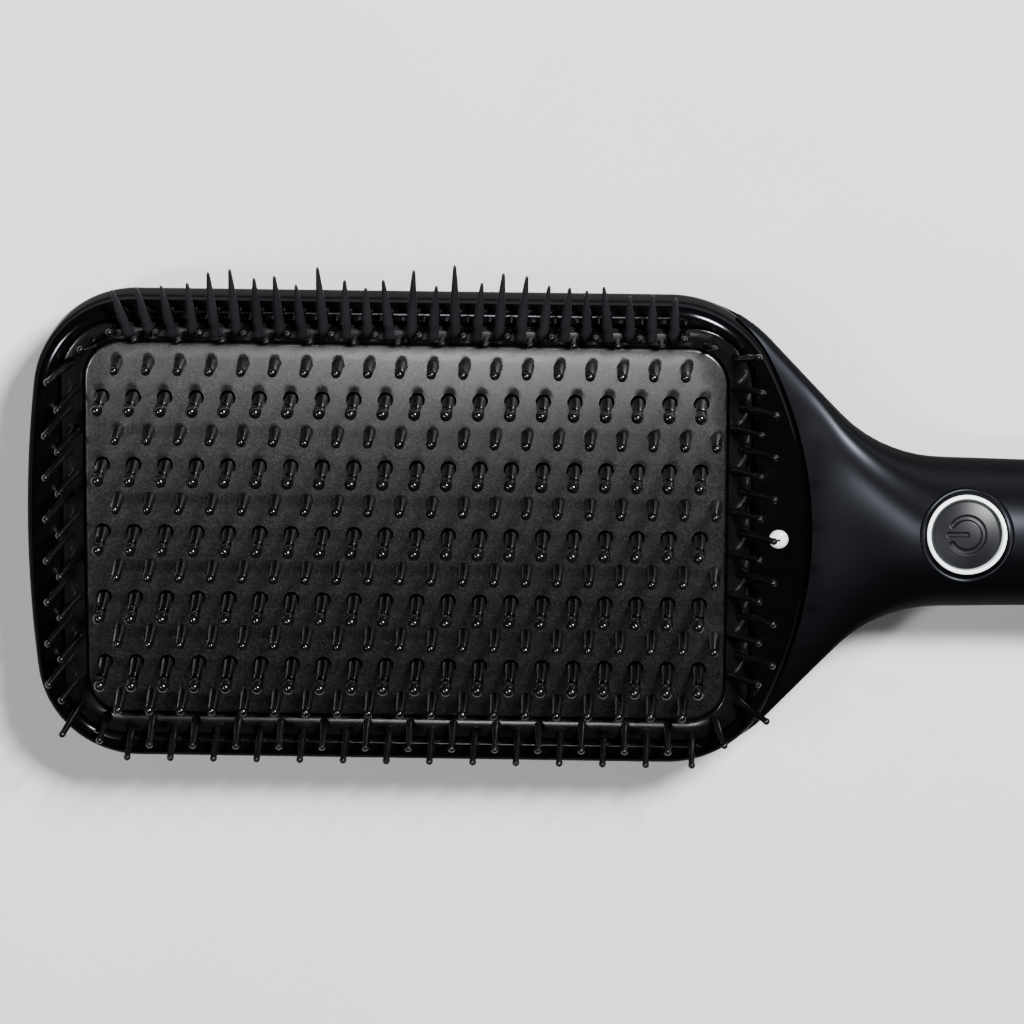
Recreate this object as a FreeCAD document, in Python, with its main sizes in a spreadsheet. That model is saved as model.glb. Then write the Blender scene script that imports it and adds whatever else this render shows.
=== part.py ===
"""Steam hair straightener brush, in millimetres.

The brush lies on its back: +Z points out of the bristles, +X runs along the handle and the origin is the
middle of the flat back of the head. The driving sizes are in the sheet named Sizes.
"""

import FreeCAD, Part
import math
import os

import Sketcher
from FreeCAD import Placement, Rotation, Vector

SIZES = {
    # head outline, seen from the bristle side
    "head_length": 153.4,
    "head_width": 94.6,
    "tip_bow": 262.0,
    "tip_corner": 20.0,
    "neck_bow": 77.4,
    "neck_corner": 21.7,
    # levels of the head above the table
    "part_level": 12.5,
    "flange_level": 20.2,
    "bezel_level": 23.0,
    "widest_level": 17.0,
    "wall": 2.0,
    "back_inset": 16.0,
    "back_power": 2.0,
    "bezel_round": 3.0,
    # crowned face plate and what stands on it
    "plate_centre": -2.5,
    "plate_length": 125.0,
    "plate_width": 76.0,
    "plate_corner": 7.2,
    "plate_thick": 1.6,
    "plate_level": 23.5,
    "crown_radius": 400.0,
    "chamber_gap": 2.6,
    "base_level": 15.0,
    "base_margin": 1.0,
    "strip_end": 1.3,
    "row_gap": 13.6,
    "column_gap": 6.14,
    "post_rows": 5,
    "post_columns": 20,
    "field_centre": -1.75,
    "post_height": 13.8,
    "post_foot_radius": 1.25,
    "post_top_radius": 1.0,
    "vent_radius": 1.55,
    "tip_radius": 1.2,
    "tip_length": 3.2,
    "spigot_radius": 0.6,
    "spigot_length": 2.2,
    "rail_width": 3.4,
    "rail_thick": 1.0,
    "strip_width": 3.2,
    "strip_thick": 0.8,
    "pin_height": 9.1,
    "pin_foot_radius": 1.2,
    "pin_top_radius": 0.95,
    # frame of splayed bristles round the plate
    "opening_shift": 0.1,
    "opening_length": 135.0,
    "opening_width": 85.0,
    "opening_corner": 12.0,
    "rim_level": 22.0,
    "rim_foot_level": 20.0,
    "rim_gap": 4.25,
    "rim_inner_offset": 1.6,
    "rim_outer_offset": 3.3,
    "rim_short": 10.4,
    "rim_long": 12.4,
    "rim_splay": 10.0,
    "rim_tip_splay": 18.0,
    "rim_neck_splay": 30.0,
    "rim_foot_radius": 0.8,
    "rim_top_radius": 0.55,
    "rim_ball_radius": 0.72,
    # long tapered bristles along one side
    "comb_start": -46.5,
    "comb_end": 37.5,
    "comb_offset": 2.45,
    "comb_splay": 60.0,
    "comb_long": 20.5,
    "comb_step": 2.2,
    "comb_short": 12.5,
    "comb_foot_radius": 1.1,
    "comb_strip_width": 2.0,
    "comb_strip_thick": 1.0,
    "comb_top_radius": 0.2,
    # heated stack under the plate
    "gasket_width": 1.0,
    "carrier_foot": 13.0,
    "carrier_shelf": 4.0,
    "carrier_corner": 19.0,
    "bar_length": 95.0,
    "bar_width": 12.0,
    "bar_thick": 2.4,
    "bar_side": 16.0,
    "bar_middle": -6.5,
    "clamp_length": 104.0,
    "clamp_width": 56.0,
    "clamp_thick": 1.2,
    "clamp_screw_x": 48.0,
    "clamp_screw_y": 25.0,
    "clamp_screw_radius": 1.25,
    "clamp_head_radius": 2.3,
    "clamp_head_thick": 1.3,
    "shield_level": 9.05,
    "shield_thick": 0.8,
    "shield_length": 102.0,
    "shield_width": 66.0,
    "fuse_radius": 1.15,
    "fuse_length": 9.0,
    "bead_radius": 1.1,
    "bead_length": 3.6,
    # water
    "tank_middle": -30.0,
    "tank_length": 58.0,
    "tank_width": 50.0,
    "tank_corner": 8.0,
    "tank_foot": 3.6,
    "tank_top": 9.0,
    "tank_wall": 1.2,
    "filler_radius": 4.1,
    "filler_wall": 1.5,
    "plug_head_radius": 7.7,
    "plug_head_thick": 1.2,
    "plug_recess": 0.5,
    "pump_radius": 4.7,
    "pump_start": 60.0,
    "pump_length": 16.0,
    "pump_side": 9.5,
    "pump_level": 7.2,
    "tube_radius": 1.9,
    "tube_bore": 1.1,
    "suction_side": 7.4,
    "suction_level": 5.9,
    "feed_side": 11.7,
    "feed_level": 6.6,
    "inlet_place": 50.0,
    "stub_length": 2.5,
    "inlet_length": 3.0,
    # neck and handle
    "neck_start": 48.1,
    "neck_end": 102.5,
    "neck_round": 27.6,
    "neck_level": 20.5,
    "neck_rise_start": 74.0,
    "neck_rise_end": 107.0,
    "handle_level": 16.2,
    "handle_radius": 14.6,
    "waist_radius": 14.3,
    "waist_place": 118.0,
    "tail_radius": 15.6,
    "swell_end": 192.0,
    "handle_end": 205.0,
    "joint_step": 0.12,
    "seam_gap": 0.25,
    "shell_gap": 0.2,
    "shell_tip": 62.0,
    # power button, set round the handle towards the thumb
    "button_place": 106.9,
    "button_turn": 14.5,
    "ring_outer_radius": 8.1,
    "ring_inner_radius": 6.85,
    "ring_flange_radius": 8.9,
    "ring_flange_thick": 1.2,
    "groove_radius": 9.05,
    "groove_depth": 0.5,
    "button_radius": 6.7,
    "button_rim": 12.9,
    "button_foot": 9.5,
    "dome_height": 0.8,
    "button_stem_radius": 3.5,
    "button_flange_radius": 4.8,
    "button_flange_thick": 0.8,
    "button_stroke": 0.6,
    "symbol_radius": 3.75,
    "symbol_line": 0.85,
    "symbol_depth": 0.35,
    "symbol_gap": 34.0,
    "symbol_bar": 3.9,
    "light_board_level": 6.8,
    "light_board_thick": 0.8,
    "light_board_hole": 4.0,
    "light_count": 6,
    # boards
    "board_level": -0.5,
    "board_thick": 1.6,
    "board_start": -14.0,
    "board_length": 46.0,
    "board_width": 19.0,
    "switch_side": 6.0,
    "switch_top": 4.6,
    "plunger_radius": 1.5,
    "plunger_length": 3.4,
    "board_screw_near": -11.3,
    "board_screw_far": 28.5,
    "board_screw_radius": 1.0,
    "mains_board_start": 148.0,
    "mains_board_length": 37.0,
    "mains_board_width": 21.0,
    "mains_board_level": 12.6,
    "mains_screw_inset": 3.0,
    # ion outlet
    "ion_place": 70.4,
    "ion_radius": 1.9,
    "ion_bore": 0.6,
    "ion_foot": 17.2,
    "ion_stand": 1.0,
    "ioniser_start": 66.0,
    "ioniser_length": 14.0,
    "ioniser_left": 2.5,
    "ioniser_width": 14.5,
    "ioniser_foot": 6.0,
    "ioniser_top": 11.5,
    "needle_radius": 0.35,
    "needle_base_radius": 1.2,
    # fasteners and bosses
    "head_screw_tip_x": 71.6,
    "head_screw_neck_x": 67.6,
    "head_screw_y": 22.0,
    "head_boss_radius": 2.3,
    "head_seat": 11.2,
    "screw_radius": 1.0,
    "screw_head_radius": 2.0,
    "screw_head_thick": 1.4,
    "screw_reach": 18.0,
    "handle_screw_near": 143.2,
    "handle_screw_far": 190.5,
    "handle_screw_seat": 8.5,
    "handle_screw_reach": 27.0,
    "handle_post_radius": 2.4,
    "cap_thick": 1.0,
    # tail
    "cap_length": 9.0,
    "cap_end_radius": 11.5,
    "cap_spigot": 6.0,
    "cap_wall": 2.5,
    "swivel_radius": 7.0,
    "swivel_collar_radius": 8.2,
    "swivel_end_radius": 6.0,
    "swivel_collar_length": 8.0,
    "swivel_inside": 5.0,
    "cord_radius": 3.4,
    "clip_radius": 9.5,
    "clip_thick": 1.0,
    "clip_groove": 1.0,
    # clearances and wires
    "fit_gap": 0.05,
    "button_gap": 0.15,
    "loose_gap": 0.3,
    "wire_radius": 0.8,
    "lead_side": 16.2,
    "lead_level": 13.8,
    "lead_run_level": 8.0,
    "lead_handle_side": 5.0,
    "lead_handle_level": 8.6,
}

UP = Vector(0, 0, 1)
ALONG = Vector(1, 0, 0)

doc = FreeCAD.newDocument("steam_brush")
sheet = doc.addObject("Spreadsheet::Sheet", "Sizes")
for row, (alias, value) in enumerate(SIZES.items(), start=1):
    sheet.set(f"A{row}", alias)
    sheet.set(f"B{row}", repr(value))
    sheet.setAlias(f"B{row}", alias)
doc.recompute()

parts = {}


# ---- reading and binding sizes -----------------------------------------------------------------------------


class Names(dict):
    """Turns a bare word in a formula into the sheet's cell of that name."""

    def __missing__(self, key):
        return float(sheet.get(key))


def number(formula):
    """The value of a formula of sheet names, such as 'head_width / 2 - wall'."""
    return float(sheet.evalExpression(str(formula)))


def cells(formula):
    """The same formula with each sheet name written as Sizes.name, for use in another object."""
    text = str(formula)
    words = []
    word = ""
    for letter in text + " ":
        if letter.isalnum() or letter in "_.":
            word += letter
            continue
        words.append(f"Sizes.{word}" if word in SIZES else word)
        words.append(letter)
        word = ""
    return "".join(words).strip()


def bind(thing, prop, formula):
    thing.setExpression(prop, cells(formula))


def keep(name, thing):
    """Marks an object as one piece of the brush, in a node of this name."""
    thing.Label = name
    parts[name] = thing
    return thing


# ---- sketches and part design ------------------------------------------------------------------------------


def body_named(name):
    return doc.addObject("PartDesign::Body", name)


def sketch_on(body, role, height="0"):
    """A sketch on one of the body's own origin planes, raised along the plane's normal."""
    sketch = body.newObject("Sketcher::SketchObject", "Sketch")
    plane = next(p for p in body.Origin.OriginFeatures if p.Role == role)
    sketch.AttachmentSupport = [(plane, "")]
    sketch.MapMode = "FlatFace"
    bind(sketch, "AttachmentOffset.Base.z", height)
    return sketch


def constrain(sketch, kind, where, formula):
    index = sketch.addConstraint(Sketcher.Constraint(kind, *where, number(formula)))
    bind(sketch, f"Constraints[{index}]", formula)


def add_polygon(sketch, corners):
    """A closed polygon whose corners are pairs of formulas."""
    points = [Vector(number(a), number(b), 0) for a, b in corners]
    count = len(points)
    first = sketch.GeometryCount
    for k in range(count):
        sketch.addGeometry(Part.LineSegment(points[k], points[(k + 1) % count]), False)
    for k in range(count):
        here = first + k
        there = first + (k + 1) % count
        sketch.addConstraint(Sketcher.Constraint("Coincident", here, 2, there, 1))
        constrain(sketch, "DistanceX", (-1, 1, here, 1), corners[k][0])
        constrain(sketch, "DistanceY", (-1, 1, here, 1), corners[k][1])


def add_circle(sketch, x, y, radius):
    centre = Vector(number(x), number(y), 0)
    index = sketch.addGeometry(Part.Circle(centre, UP, number(radius)), False)
    constrain(sketch, "Radius", (index,), radius)
    constrain(sketch, "DistanceX", (-1, 1, index, 3), x)
    constrain(sketch, "DistanceY", (-1, 1, index, 3), y)


def add_loop(sketch, sides, corners):
    """Joins sides and corner arcs, given in turn round a loop, with tangent ends."""
    first = sketch.GeometryCount
    for side, corner in zip(sides, corners):
        sketch.addGeometry(side, False)
        sketch.addGeometry(corner, False)
    for k in range(8):
        here = first + k
        there = first + (k + 1) % 8
        sketch.addConstraint(Sketcher.Constraint("Tangent", here, 2, there, 1))
    return first


def add_rounded(sketch, middle, length, width, corner):
    """A rounded rectangle on the X axis: middle along X, full length, full width, corner radius."""
    x = number(middle)
    a = number(length) / 2
    b = number(width) / 2
    r = number(corner)
    places = [(x + a - r, -b + r), (x + a - r, b - r), (x - a + r, b - r), (x - a + r, -b + r)]
    starts = [(x - a + r, -b), (x + a, -b + r), (x + a - r, b), (x - a, b - r)]
    ends = [(x + a - r, -b), (x + a, b - r), (x - a + r, b), (x - a, -b + r)]
    sides = [Part.LineSegment(Vector(*p, 0), Vector(*q, 0)) for p, q in zip(starts, ends)]
    arcs = []
    for k, place in enumerate(places):
        begin = math.radians(90 * k - 90)
        arcs.append(Part.ArcOfCircle(Part.Circle(Vector(*place, 0), UP, r), begin, begin + math.pi / 2))
    first = add_loop(sketch, sides, arcs)
    for k in (0, 2):
        sketch.addConstraint(Sketcher.Constraint("Horizontal", first + 2 * k))
        sketch.addConstraint(Sketcher.Constraint("Vertical", first + 2 * k + 2))
    for k in (3, 5, 7):
        sketch.addConstraint(Sketcher.Constraint("Equal", first + 1, first + k))
    constrain(sketch, "Radius", (first + 1,), corner)
    constrain(sketch, "DistanceY", (-1, 1, first, 1), f"-({width}) / 2")
    constrain(sketch, "DistanceX", (-1, 1, first + 2, 1), f"({middle}) + ({length}) / 2")
    constrain(sketch, "DistanceY", (-1, 1, first + 4, 1), f"({width}) / 2")
    constrain(sketch, "DistanceX", (-1, 1, first + 6, 1), f"({middle}) - ({length}) / 2")


def head_loop(inset):
    """The head's outline moved in by inset: its sides and its corner arcs, as geometry."""
    half = number("head_width / 2") - inset
    ends = {}
    for sign, bow, corner in ((1, "neck_bow", "neck_corner"), (-1, "tip_bow", "tip_corner")):
        big = number(bow)
        small = number(corner)
        big_x = sign * (number("head_length / 2") - big)
        reach = math.sqrt((big - small) ** 2 - (number("head_width / 2") - small) ** 2)
        small_x = big_x + sign * reach
        small_y = number("head_width / 2") - small
        turn = math.atan2(small_y, reach)
        ends[sign] = (big_x, big - inset, small_x, small_y, small - inset, turn)
    big_x, big_r, x, y, r, turn = ends[1]
    tip_big_x, tip_big_r, tip_x, tip_y, tip_r, tip_turn = ends[-1]

    def arc(cx, cy, radius, begin, end):
        return Part.ArcOfCircle(Part.Circle(Vector(cx, cy, 0), UP, radius), begin, end)

    sides = [
        Part.LineSegment(Vector(tip_x, -half, 0), Vector(x, -half, 0)),
        arc(big_x, 0, big_r, -turn, turn),
        Part.LineSegment(Vector(x, half, 0), Vector(tip_x, half, 0)),
        arc(tip_big_x, 0, tip_big_r, math.pi - tip_turn, math.pi + tip_turn),
    ]
    corners = [
        arc(x, -y, r, -math.pi / 2, -turn),
        arc(x, y, r, turn, math.pi / 2),
        arc(tip_x, tip_y, tip_r, math.pi / 2, math.pi - tip_turn),
        arc(tip_x, -tip_y, tip_r, math.pi + tip_turn, 1.5 * math.pi),
    ]
    return sides, corners


def add_head_outline(sketch, inset):
    sides, corners = head_loop(number(inset))
    first = add_loop(sketch, sides, corners)
    constrain(sketch, "DistanceY", (-1, 1, first, 1), f"-head_width / 2 + ({inset})")
    constrain(sketch, "DistanceY", (-1, 1, first + 4, 1), f"head_width / 2 - ({inset})")
    for k, name in ((1, "neck_corner"), (3, "neck_corner"), (5, "tip_corner"), (7, "tip_corner")):
        constrain(sketch, "Radius", (first + k,), f"{name} - ({inset})")
    for k, name, sign in ((2, "neck_bow", ""), (6, "tip_bow", "-")):
        constrain(sketch, "Radius", (first + k,), f"{name} - ({inset})")
        constrain(sketch, "DistanceX", (-1, 1, first + k, 3), f"{sign}(head_length / 2 - {name})")
        constrain(sketch, "DistanceY", (-1, 1, first + k, 3), "0")
    for k in (0, 4):
        sketch.addConstraint(Sketcher.Constraint("Horizontal", first + k))


def pad(body, sketch, length):
    feature = body.newObject("PartDesign::Pad", "Pad")
    feature.Profile = sketch
    bind(feature, "Length", length)
    sketch.Visibility = False
    doc.recompute()
    return feature


def pocket(body, sketch, length, upward=True):
    """Cuts the sketch out of the body, towards +normal when upward, and checks that it cut something."""
    before = body.Shape.Volume
    feature = body.newObject("PartDesign::Pocket", "Pocket")
    feature.Profile = sketch
    feature.Reversed = upward
    bind(feature, "Length", length)
    doc.recompute()
    if body.Shape.Volume > before - 1e-6:
        raise ValueError(f"{body.Label}: a pocket cut nothing")
    return feature


def fillet_level(body, level, radius):
    """Rounds the outer edges that lie flat at this level."""
    base = body.Tip
    z = number(level)
    edges = []
    for k, edge in enumerate(base.Shape.Edges, start=1):
        box = edge.BoundBox
        if abs(box.ZMin - z) < 1e-4 and abs(box.ZMax - z) < 1e-4:
            edges.append(f"Edge{k}")
    feature = body.newObject("PartDesign::Fillet", "Fillet")
    feature.Base = (base, edges)
    bind(feature, "Radius", radius)
    doc.recompute()
    return feature


def draft_foot(body, level, inset, height):
    """Slopes the outer wall in by inset at this level, from its full width at the height above it."""
    base = body.Tip
    z = number(level)
    edges = []
    for k, edge in enumerate(base.Shape.Edges, start=1):
        box = edge.BoundBox
        if abs(box.ZMin - z) < 1e-4 and abs(box.ZMax - z) < 1e-4:
            edges.append(f"Edge{k}")
    feature = body.newObject("PartDesign::Chamfer", "Chamfer")
    feature.Base = (base, edges)
    feature.ChamferType = "Two distances"
    bind(feature, "Size", height)
    bind(feature, "Size2", inset)
    doc.recompute()
    return feature


def turned(name, profile):
    """A body of revolution about its own Z axis; the profile is pairs of radius and height."""
    body = body_named(name)
    sketch = sketch_on(body, "XZ_Plane")
    add_polygon(sketch, profile)
    feature = body.newObject("PartDesign::Revolution", "Revolution")
    feature.Profile = sketch
    feature.ReferenceAxis = (sketch, ["V_Axis"])
    feature.Angle = 360
    doc.recompute()
    return body


def place(thing, x="0", y="0", z="0"):
    bind(thing, "Placement.Base.x", x)
    bind(thing, "Placement.Base.y", y)
    bind(thing, "Placement.Base.z", z)
    return thing


def place_in_button_frame(thing):
    """Stands a piece on the handle's axis under the button, turned with the button round the handle."""
    thing.Placement = Placement(Vector(), Rotation(ALONG, -1.0))
    bind(thing, "Placement.Rotation.Angle", "-button_turn * 1 deg")
    return place(thing, "button_place", "0", "handle_level")


def place_on_handle_axis(thing):
    """Turns a piece's own Z axis onto the handle's axis."""
    thing.Placement = Placement(Vector(), Rotation(Vector(0, 1, 0), 90))
    return place(thing, "0", "0", "handle_level")


# ---- primitives --------------------------------------------------------------------------------------------


def box(name, x, y, z, length, width, height):
    thing = doc.addObject("Part::Box", name)
    bind(thing, "Length", length)
    bind(thing, "Width", width)
    bind(thing, "Height", height)
    return place(thing, x, y, z)


def rod(name, x, y, z, radius, height):
    thing = doc.addObject("Part::Cylinder", name)
    bind(thing, "Radius", radius)
    bind(thing, "Height", height)
    return place(thing, x, y, z)


def rod_along(name, x, y, z, radius, length):
    thing = doc.addObject("Part::Cylinder", name)
    thing.Placement = Placement(Vector(), Rotation(Vector(0, 1, 0), 90))
    bind(thing, "Radius", radius)
    bind(thing, "Height", length)
    return place(thing, x, y, z)


def fuse(name, things):
    thing = doc.addObject("Part::MultiFuse", name)
    thing.Shapes = things
    return thing


def cut(name, base, tool):
    thing = doc.addObject("Part::Cut", name)
    thing.Base = base
    thing.Tool = tool
    return thing


def common(name, things):
    thing = doc.addObject("Part::MultiCommon", name)
    thing.Shapes = things
    return thing


def group(name, things):
    thing = doc.addObject("Part::Compound", name)
    thing.Links = things
    return thing


def from_shape(name, shape):
    thing = doc.addObject("Part::Feature", name)
    thing.Shape = shape
    return thing


# ---- forms made with Part's own functions ------------------------------------------------------------------


def blend(value, low, high):
    """Runs smoothly from 0 at low to 1 at high."""
    share = min(max((value - low) / (high - low), 0.0), 1.0)
    return share * share * (3 - 2 * share)


def head_wire(inset, level):
    sides, corners = head_loop(inset)
    edges = [part.toShape() for pair in zip(sides, corners) for part in pair]
    wire = Part.Wire(edges)
    wire.translate(Vector(0, 0, level))
    return wire


def back_depth():
    """Depth of the oval that shapes the back, from the widest level down past the table."""
    share = 1 - number("back_inset / (head_width / 2)")
    power = number("back_power")
    return number("widest_level") / (1 - share**power) ** (1 / power)


def back_inset_at(level):
    power = number("back_power")
    drop = (number("widest_level") - level) / back_depth()
    return number("head_width / 2") * (1 - (1 - drop**power) ** (1 / power))


def head_pan(wall):
    """The domed back of the head up to the parting level, moved in by wall."""
    low = wall
    high = number("part_level")
    steps = 7
    wires = []
    for k in range(steps + 1):
        level = low + (high - low) * (k / steps) ** 1.6
        wires.append(head_wire(back_inset_at(max(level - wall * 0.6, 0.0)) + wall, level))
    return Part.makeLoft(wires, True, False)


def neck_half_width(x):
    """Half the width seen from the front: two equal arcs joined by their common tangent, then the handle."""
    big = number("neck_round")
    start = number("neck_start")
    end = number("neck_end")
    high = number("head_width / 2")
    low = number("handle_radius")
    run = end - start
    fall = (high - big) - (low + big)
    reach = math.hypot(run, fall)
    angle = math.asin(2 * big / reach) - math.atan2(-fall, run)
    bend = big * math.sin(angle)
    if x <= start:
        return high
    if x <= start + bend:
        return high - big + math.sqrt(big**2 - (x - start) ** 2)
    if x < end - bend:
        drop = high - big * (1 - math.cos(angle))
        return drop - (x - start - bend) * math.tan(angle)
    if x < end:
        return low + big - math.sqrt(big**2 - (end - x) ** 2)
    waist = number("waist_radius") - low
    swell = number("tail_radius - waist_radius")
    at_waist = number("waist_place")
    return low + waist * blend(x, end, at_waist) + swell * blend(x, at_waist, number("swell_end"))


def neck_section(x, wall):
    """The closed section of neck and handle at x, moved in by wall."""
    rise = blend(x, number("neck_rise_start"), number("neck_rise_end"))
    side = neck_half_width(x)
    middle = number("widest_level") + (number("handle_level - widest_level")) * rise
    handle = side if x > number("neck_end") else number("handle_radius")
    above = number("neck_level") - middle + (handle - (number("neck_level") - middle)) * rise
    round_off = blend(x, number("neck_start"), number("neck_rise_end"))
    below = back_depth() + (handle - back_depth()) * round_off
    power_below = number("back_power") + (2 - number("back_power")) * round_off
    power_above = 3.0 - blend(x, number("neck_rise_start"), number("neck_rise_end"))
    points = []
    count = 32
    for k in range(count):
        angle = 2 * math.pi * k / count
        across = math.cos(angle)
        up = math.sin(angle)
        power = power_above if up > 0 else power_below
        height = (above if up > 0 else below) - wall
        y = math.copysign(abs(across) ** (2 / power), across) * (side - wall)
        z = math.copysign(abs(up) ** (2 / power), up) * height
        points.append(Vector(x, y, middle + z))
    curve = Part.BSplineCurve()
    curve.interpolate(Points=points, PeriodicFlag=True)
    return Part.Wire([curve.toShape()])


def neck_form(wall, start, end):
    """Neck and handle as one lofted solid between two places along X, starting a hair inside the head."""
    bend = number("neck_end")
    steps = [start + (bend - start) * k / 22 for k in range(22)]
    steps += [bend + (end - bend) * k / 14 for k in range(15)]
    sections = [neck_section(steps[0], wall + number("joint_step"))]
    sections += [neck_section(x, wall) for x in steps[1:]]
    return Part.makeLoft(sections, True, True)


def slab(profile, reach):
    """A polygon in the XZ plane, pushed out both ways along Y."""
    points = [Vector(x, -reach, z) for x, z in profile]
    face = Part.Face(Part.makePolygon(points + points[:1]))
    return face.extrude(Vector(0, 2 * reach, 0))


def lower_zone(floor, gap):
    """The space under the parting line, which climbs to the handle's middle, raised by a gap."""
    far = number("handle_end") + 10
    low = number("part_level") + gap
    high = number("handle_level") + gap
    climb_start = number("neck_rise_start")
    climb_end = number("neck_end")
    profile = [(-far, floor), (-far, low), (climb_start, low), (climb_end, high), (far, high), (far, floor)]
    return slab(profile, far)


def crown_shell(outer_level, thick):
    """A crowned sheet, wide and long, with its top at this level along the middle."""
    centre = Vector(-number("head_length"), 0, number("plate_level - crown_radius"))
    outer = number("crown_radius") - (number("plate_level") - outer_level)
    length = 2 * number("head_length")
    solid = Part.makeCylinder(outer, length, centre, ALONG)
    return solid.cut(Part.makeCylinder(outer - thick, length, centre, ALONG))


def rounded_prism(middle, length, width, corner, low, high):
    """An upright rounded bar, from its full length and width."""
    solid = Part.makeBox(length, width, high - low, Vector(middle - length / 2, -width / 2, low))
    upright = [e for e in solid.Edges if abs(e.Vertexes[0].Z - e.Vertexes[1].Z) > (high - low) / 2]
    return solid.makeFillet(corner, upright)


def on_crown(solid, x, along_crown):
    """Stands a solid made at the origin on the face plate, square to it."""
    radius = number("crown_radius")
    turned_solid = solid.copy()
    turned_solid.translate(Vector(x, 0, radius))
    turned_solid.rotate(Vector(), ALONG, -math.degrees(along_crown / radius))
    turned_solid.translate(Vector(0, 0, number("plate_level") - radius))
    return turned_solid


def row_places(rows):
    """How far round the crown each row of this many rows stands."""
    return [((rows - 1) / 2 - row) * number("row_gap") for row in range(rows)]


def column_places(shift):
    """The places of the columns along X, moved from the middle of the field by this share of their gap."""
    gap = number("column_gap")
    count = int(number("post_columns"))
    return [number("field_centre") + (column - (count - 1) / 2 + shift) * gap for column in range(count)]


def post_rows():
    """The rows of posts, each as the places of its posts: along X, and round the crown."""
    columns = column_places(-0.25)
    return [[(x, along) for x in columns] for along in row_places(int(number("post_rows")))]


def pin_rows():
    """The rows of pins, between those of the posts: the outer two stop short of the plate's corners."""
    columns = column_places(0.25)
    rows = [[(x, along) for x in columns] for along in row_places(int(number("post_rows")) + 1)]
    return [rows[0][:-1]] + rows[1:-1] + [rows[-1][:-1]]


def crowned_strip(places, top, thick, width, spare=0.0):
    """A thin strip under one row, curved with the crown, with its top at this level along the middle."""
    end = number("strip_end") + spare
    start = places[0][0] - end
    length = places[-1][0] - places[0][0] + 2 * end
    across = width + 2 * spare
    block = Part.makeBox(length, across, 20, Vector(start, -across / 2, -15))
    return crown_shell(top, thick).common(on_crown(block, 0, places[0][1]))


def taper(foot, top, low, high):
    return Part.makeCone(foot, top, high - low, Vector(0, 0, low))


def ball_ended(foot, top, low, high):
    """A rod, tapered unless foot equals top, with a round end that reaches the height named high."""
    if foot == top:
        stem = Part.makeCylinder(top, high - top - low, Vector(0, 0, low))
    else:
        stem = taper(foot, top, low, high - top)
    return stem.fuse(Part.makeSphere(top, Vector(0, 0, high - top))).removeSplitter()


def leaning(solid, x, y, z, out_x, out_y, angle):
    """Leans a solid made at the origin by an angle towards a direction, and moves its foot."""
    moved = solid.copy()
    moved.rotate(Vector(), Vector(-out_y, out_x, 0), angle)
    moved.translate(Vector(x, y, z))
    return moved


def round_the_plate(distance, offset):
    """A point at this distance round the face plate, moved out by offset, and its outward direction."""
    r = number("plate_corner")
    a = number("plate_length / 2 - plate_corner")
    b = number("plate_width / 2 - plate_corner")
    turn = r * math.pi / 2
    stretches = [(2 * b, 0), (turn, 1), (2 * a, 2), (turn, 3), (2 * b, 4), (turn, 5), (2 * a, 6), (turn, 7)]
    corners = {1: (a, b, 0), 3: (-a, b, 90), 5: (-a, -b, 180), 7: (a, -b, 270)}
    for length, kind in stretches:
        if distance <= length:
            break
        distance -= length
    if kind in corners:
        cx, cy, begin = corners[kind]
        angle = math.radians(begin) + distance / r
        out = (math.cos(angle), math.sin(angle))
        x, y = cx + r * out[0], cy + r * out[1]
    elif kind == 0:
        out, x, y = (1, 0), a + r, -b + distance
    elif kind == 2:
        out, x, y = (0, 1), a - distance, b + r
    elif kind == 4:
        out, x, y = (-1, 0), -a - r, b - distance
    else:
        out, x, y = (0, -1), -a + distance, -b - r
    return x + out[0] * offset + number("plate_centre"), y + out[1] * offset, out


def rim_step():
    """The number of bristles round the plate, and the distance from one to the next."""
    a = number("plate_length - 2 * plate_corner")
    b = number("plate_width - 2 * plate_corner")
    length = 2 * (a + b) + 2 * math.pi * number("plate_corner")
    count = 2 * round(length / number("rim_gap") / 2)
    return count, length / count


def routed(points, radius):
    """A round tube along straight runs joined by tangent arcs."""
    path = []
    here = points[0]
    for k in range(1, len(points) - 1):
        corner = points[k]
        before = points[k - 1] - corner
        after = points[k + 1] - corner
        half = before.getAngle(after) / 2
        back = 0.45 * min(before.Length, after.Length)
        start = corner + before.normalize() * back
        end = corner + after.normalize() * back
        towards = (before + after).normalize()
        bend = back * math.tan(half)
        middle = corner + towards * (back / math.cos(half) - bend)
        path.append(Part.LineSegment(here, start).toShape())
        path.append(Part.Arc(start, middle, end).toShape())
        here = end
    path.append(Part.LineSegment(here, points[-1]).toShape())
    wire = Part.Wire(path)
    heading = (points[1] - points[0]).normalize()
    section = Part.Wire([Part.makeCircle(radius, points[0], heading)])
    return wire.makePipeShell([section], True, False)


# ---- head: bezel, plate, bristles --------------------------------------------------------------------------

# how far the back's oval has drawn in at the parting level, as back_inset_at works it out
HALF = "head_width / 2"
BACK_DEPTH = f"widest_level / (1 - (1 - back_inset / ({HALF})) ^ back_power) ^ (1 / back_power)"
BACK_DROP = f"((widest_level - part_level) / ({BACK_DEPTH}))"
BACK_INSET_AT_PART = f"{HALF} * (1 - (1 - {BACK_DROP} ^ back_power) ^ (1 / back_power))"

HEAD_SCREWS = [
    ("-head_screw_tip_x", "head_screw_y"),
    ("-head_screw_tip_x", "-head_screw_y"),
    ("head_screw_neck_x", "head_screw_y"),
    ("head_screw_neck_x", "-head_screw_y"),
]


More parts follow.
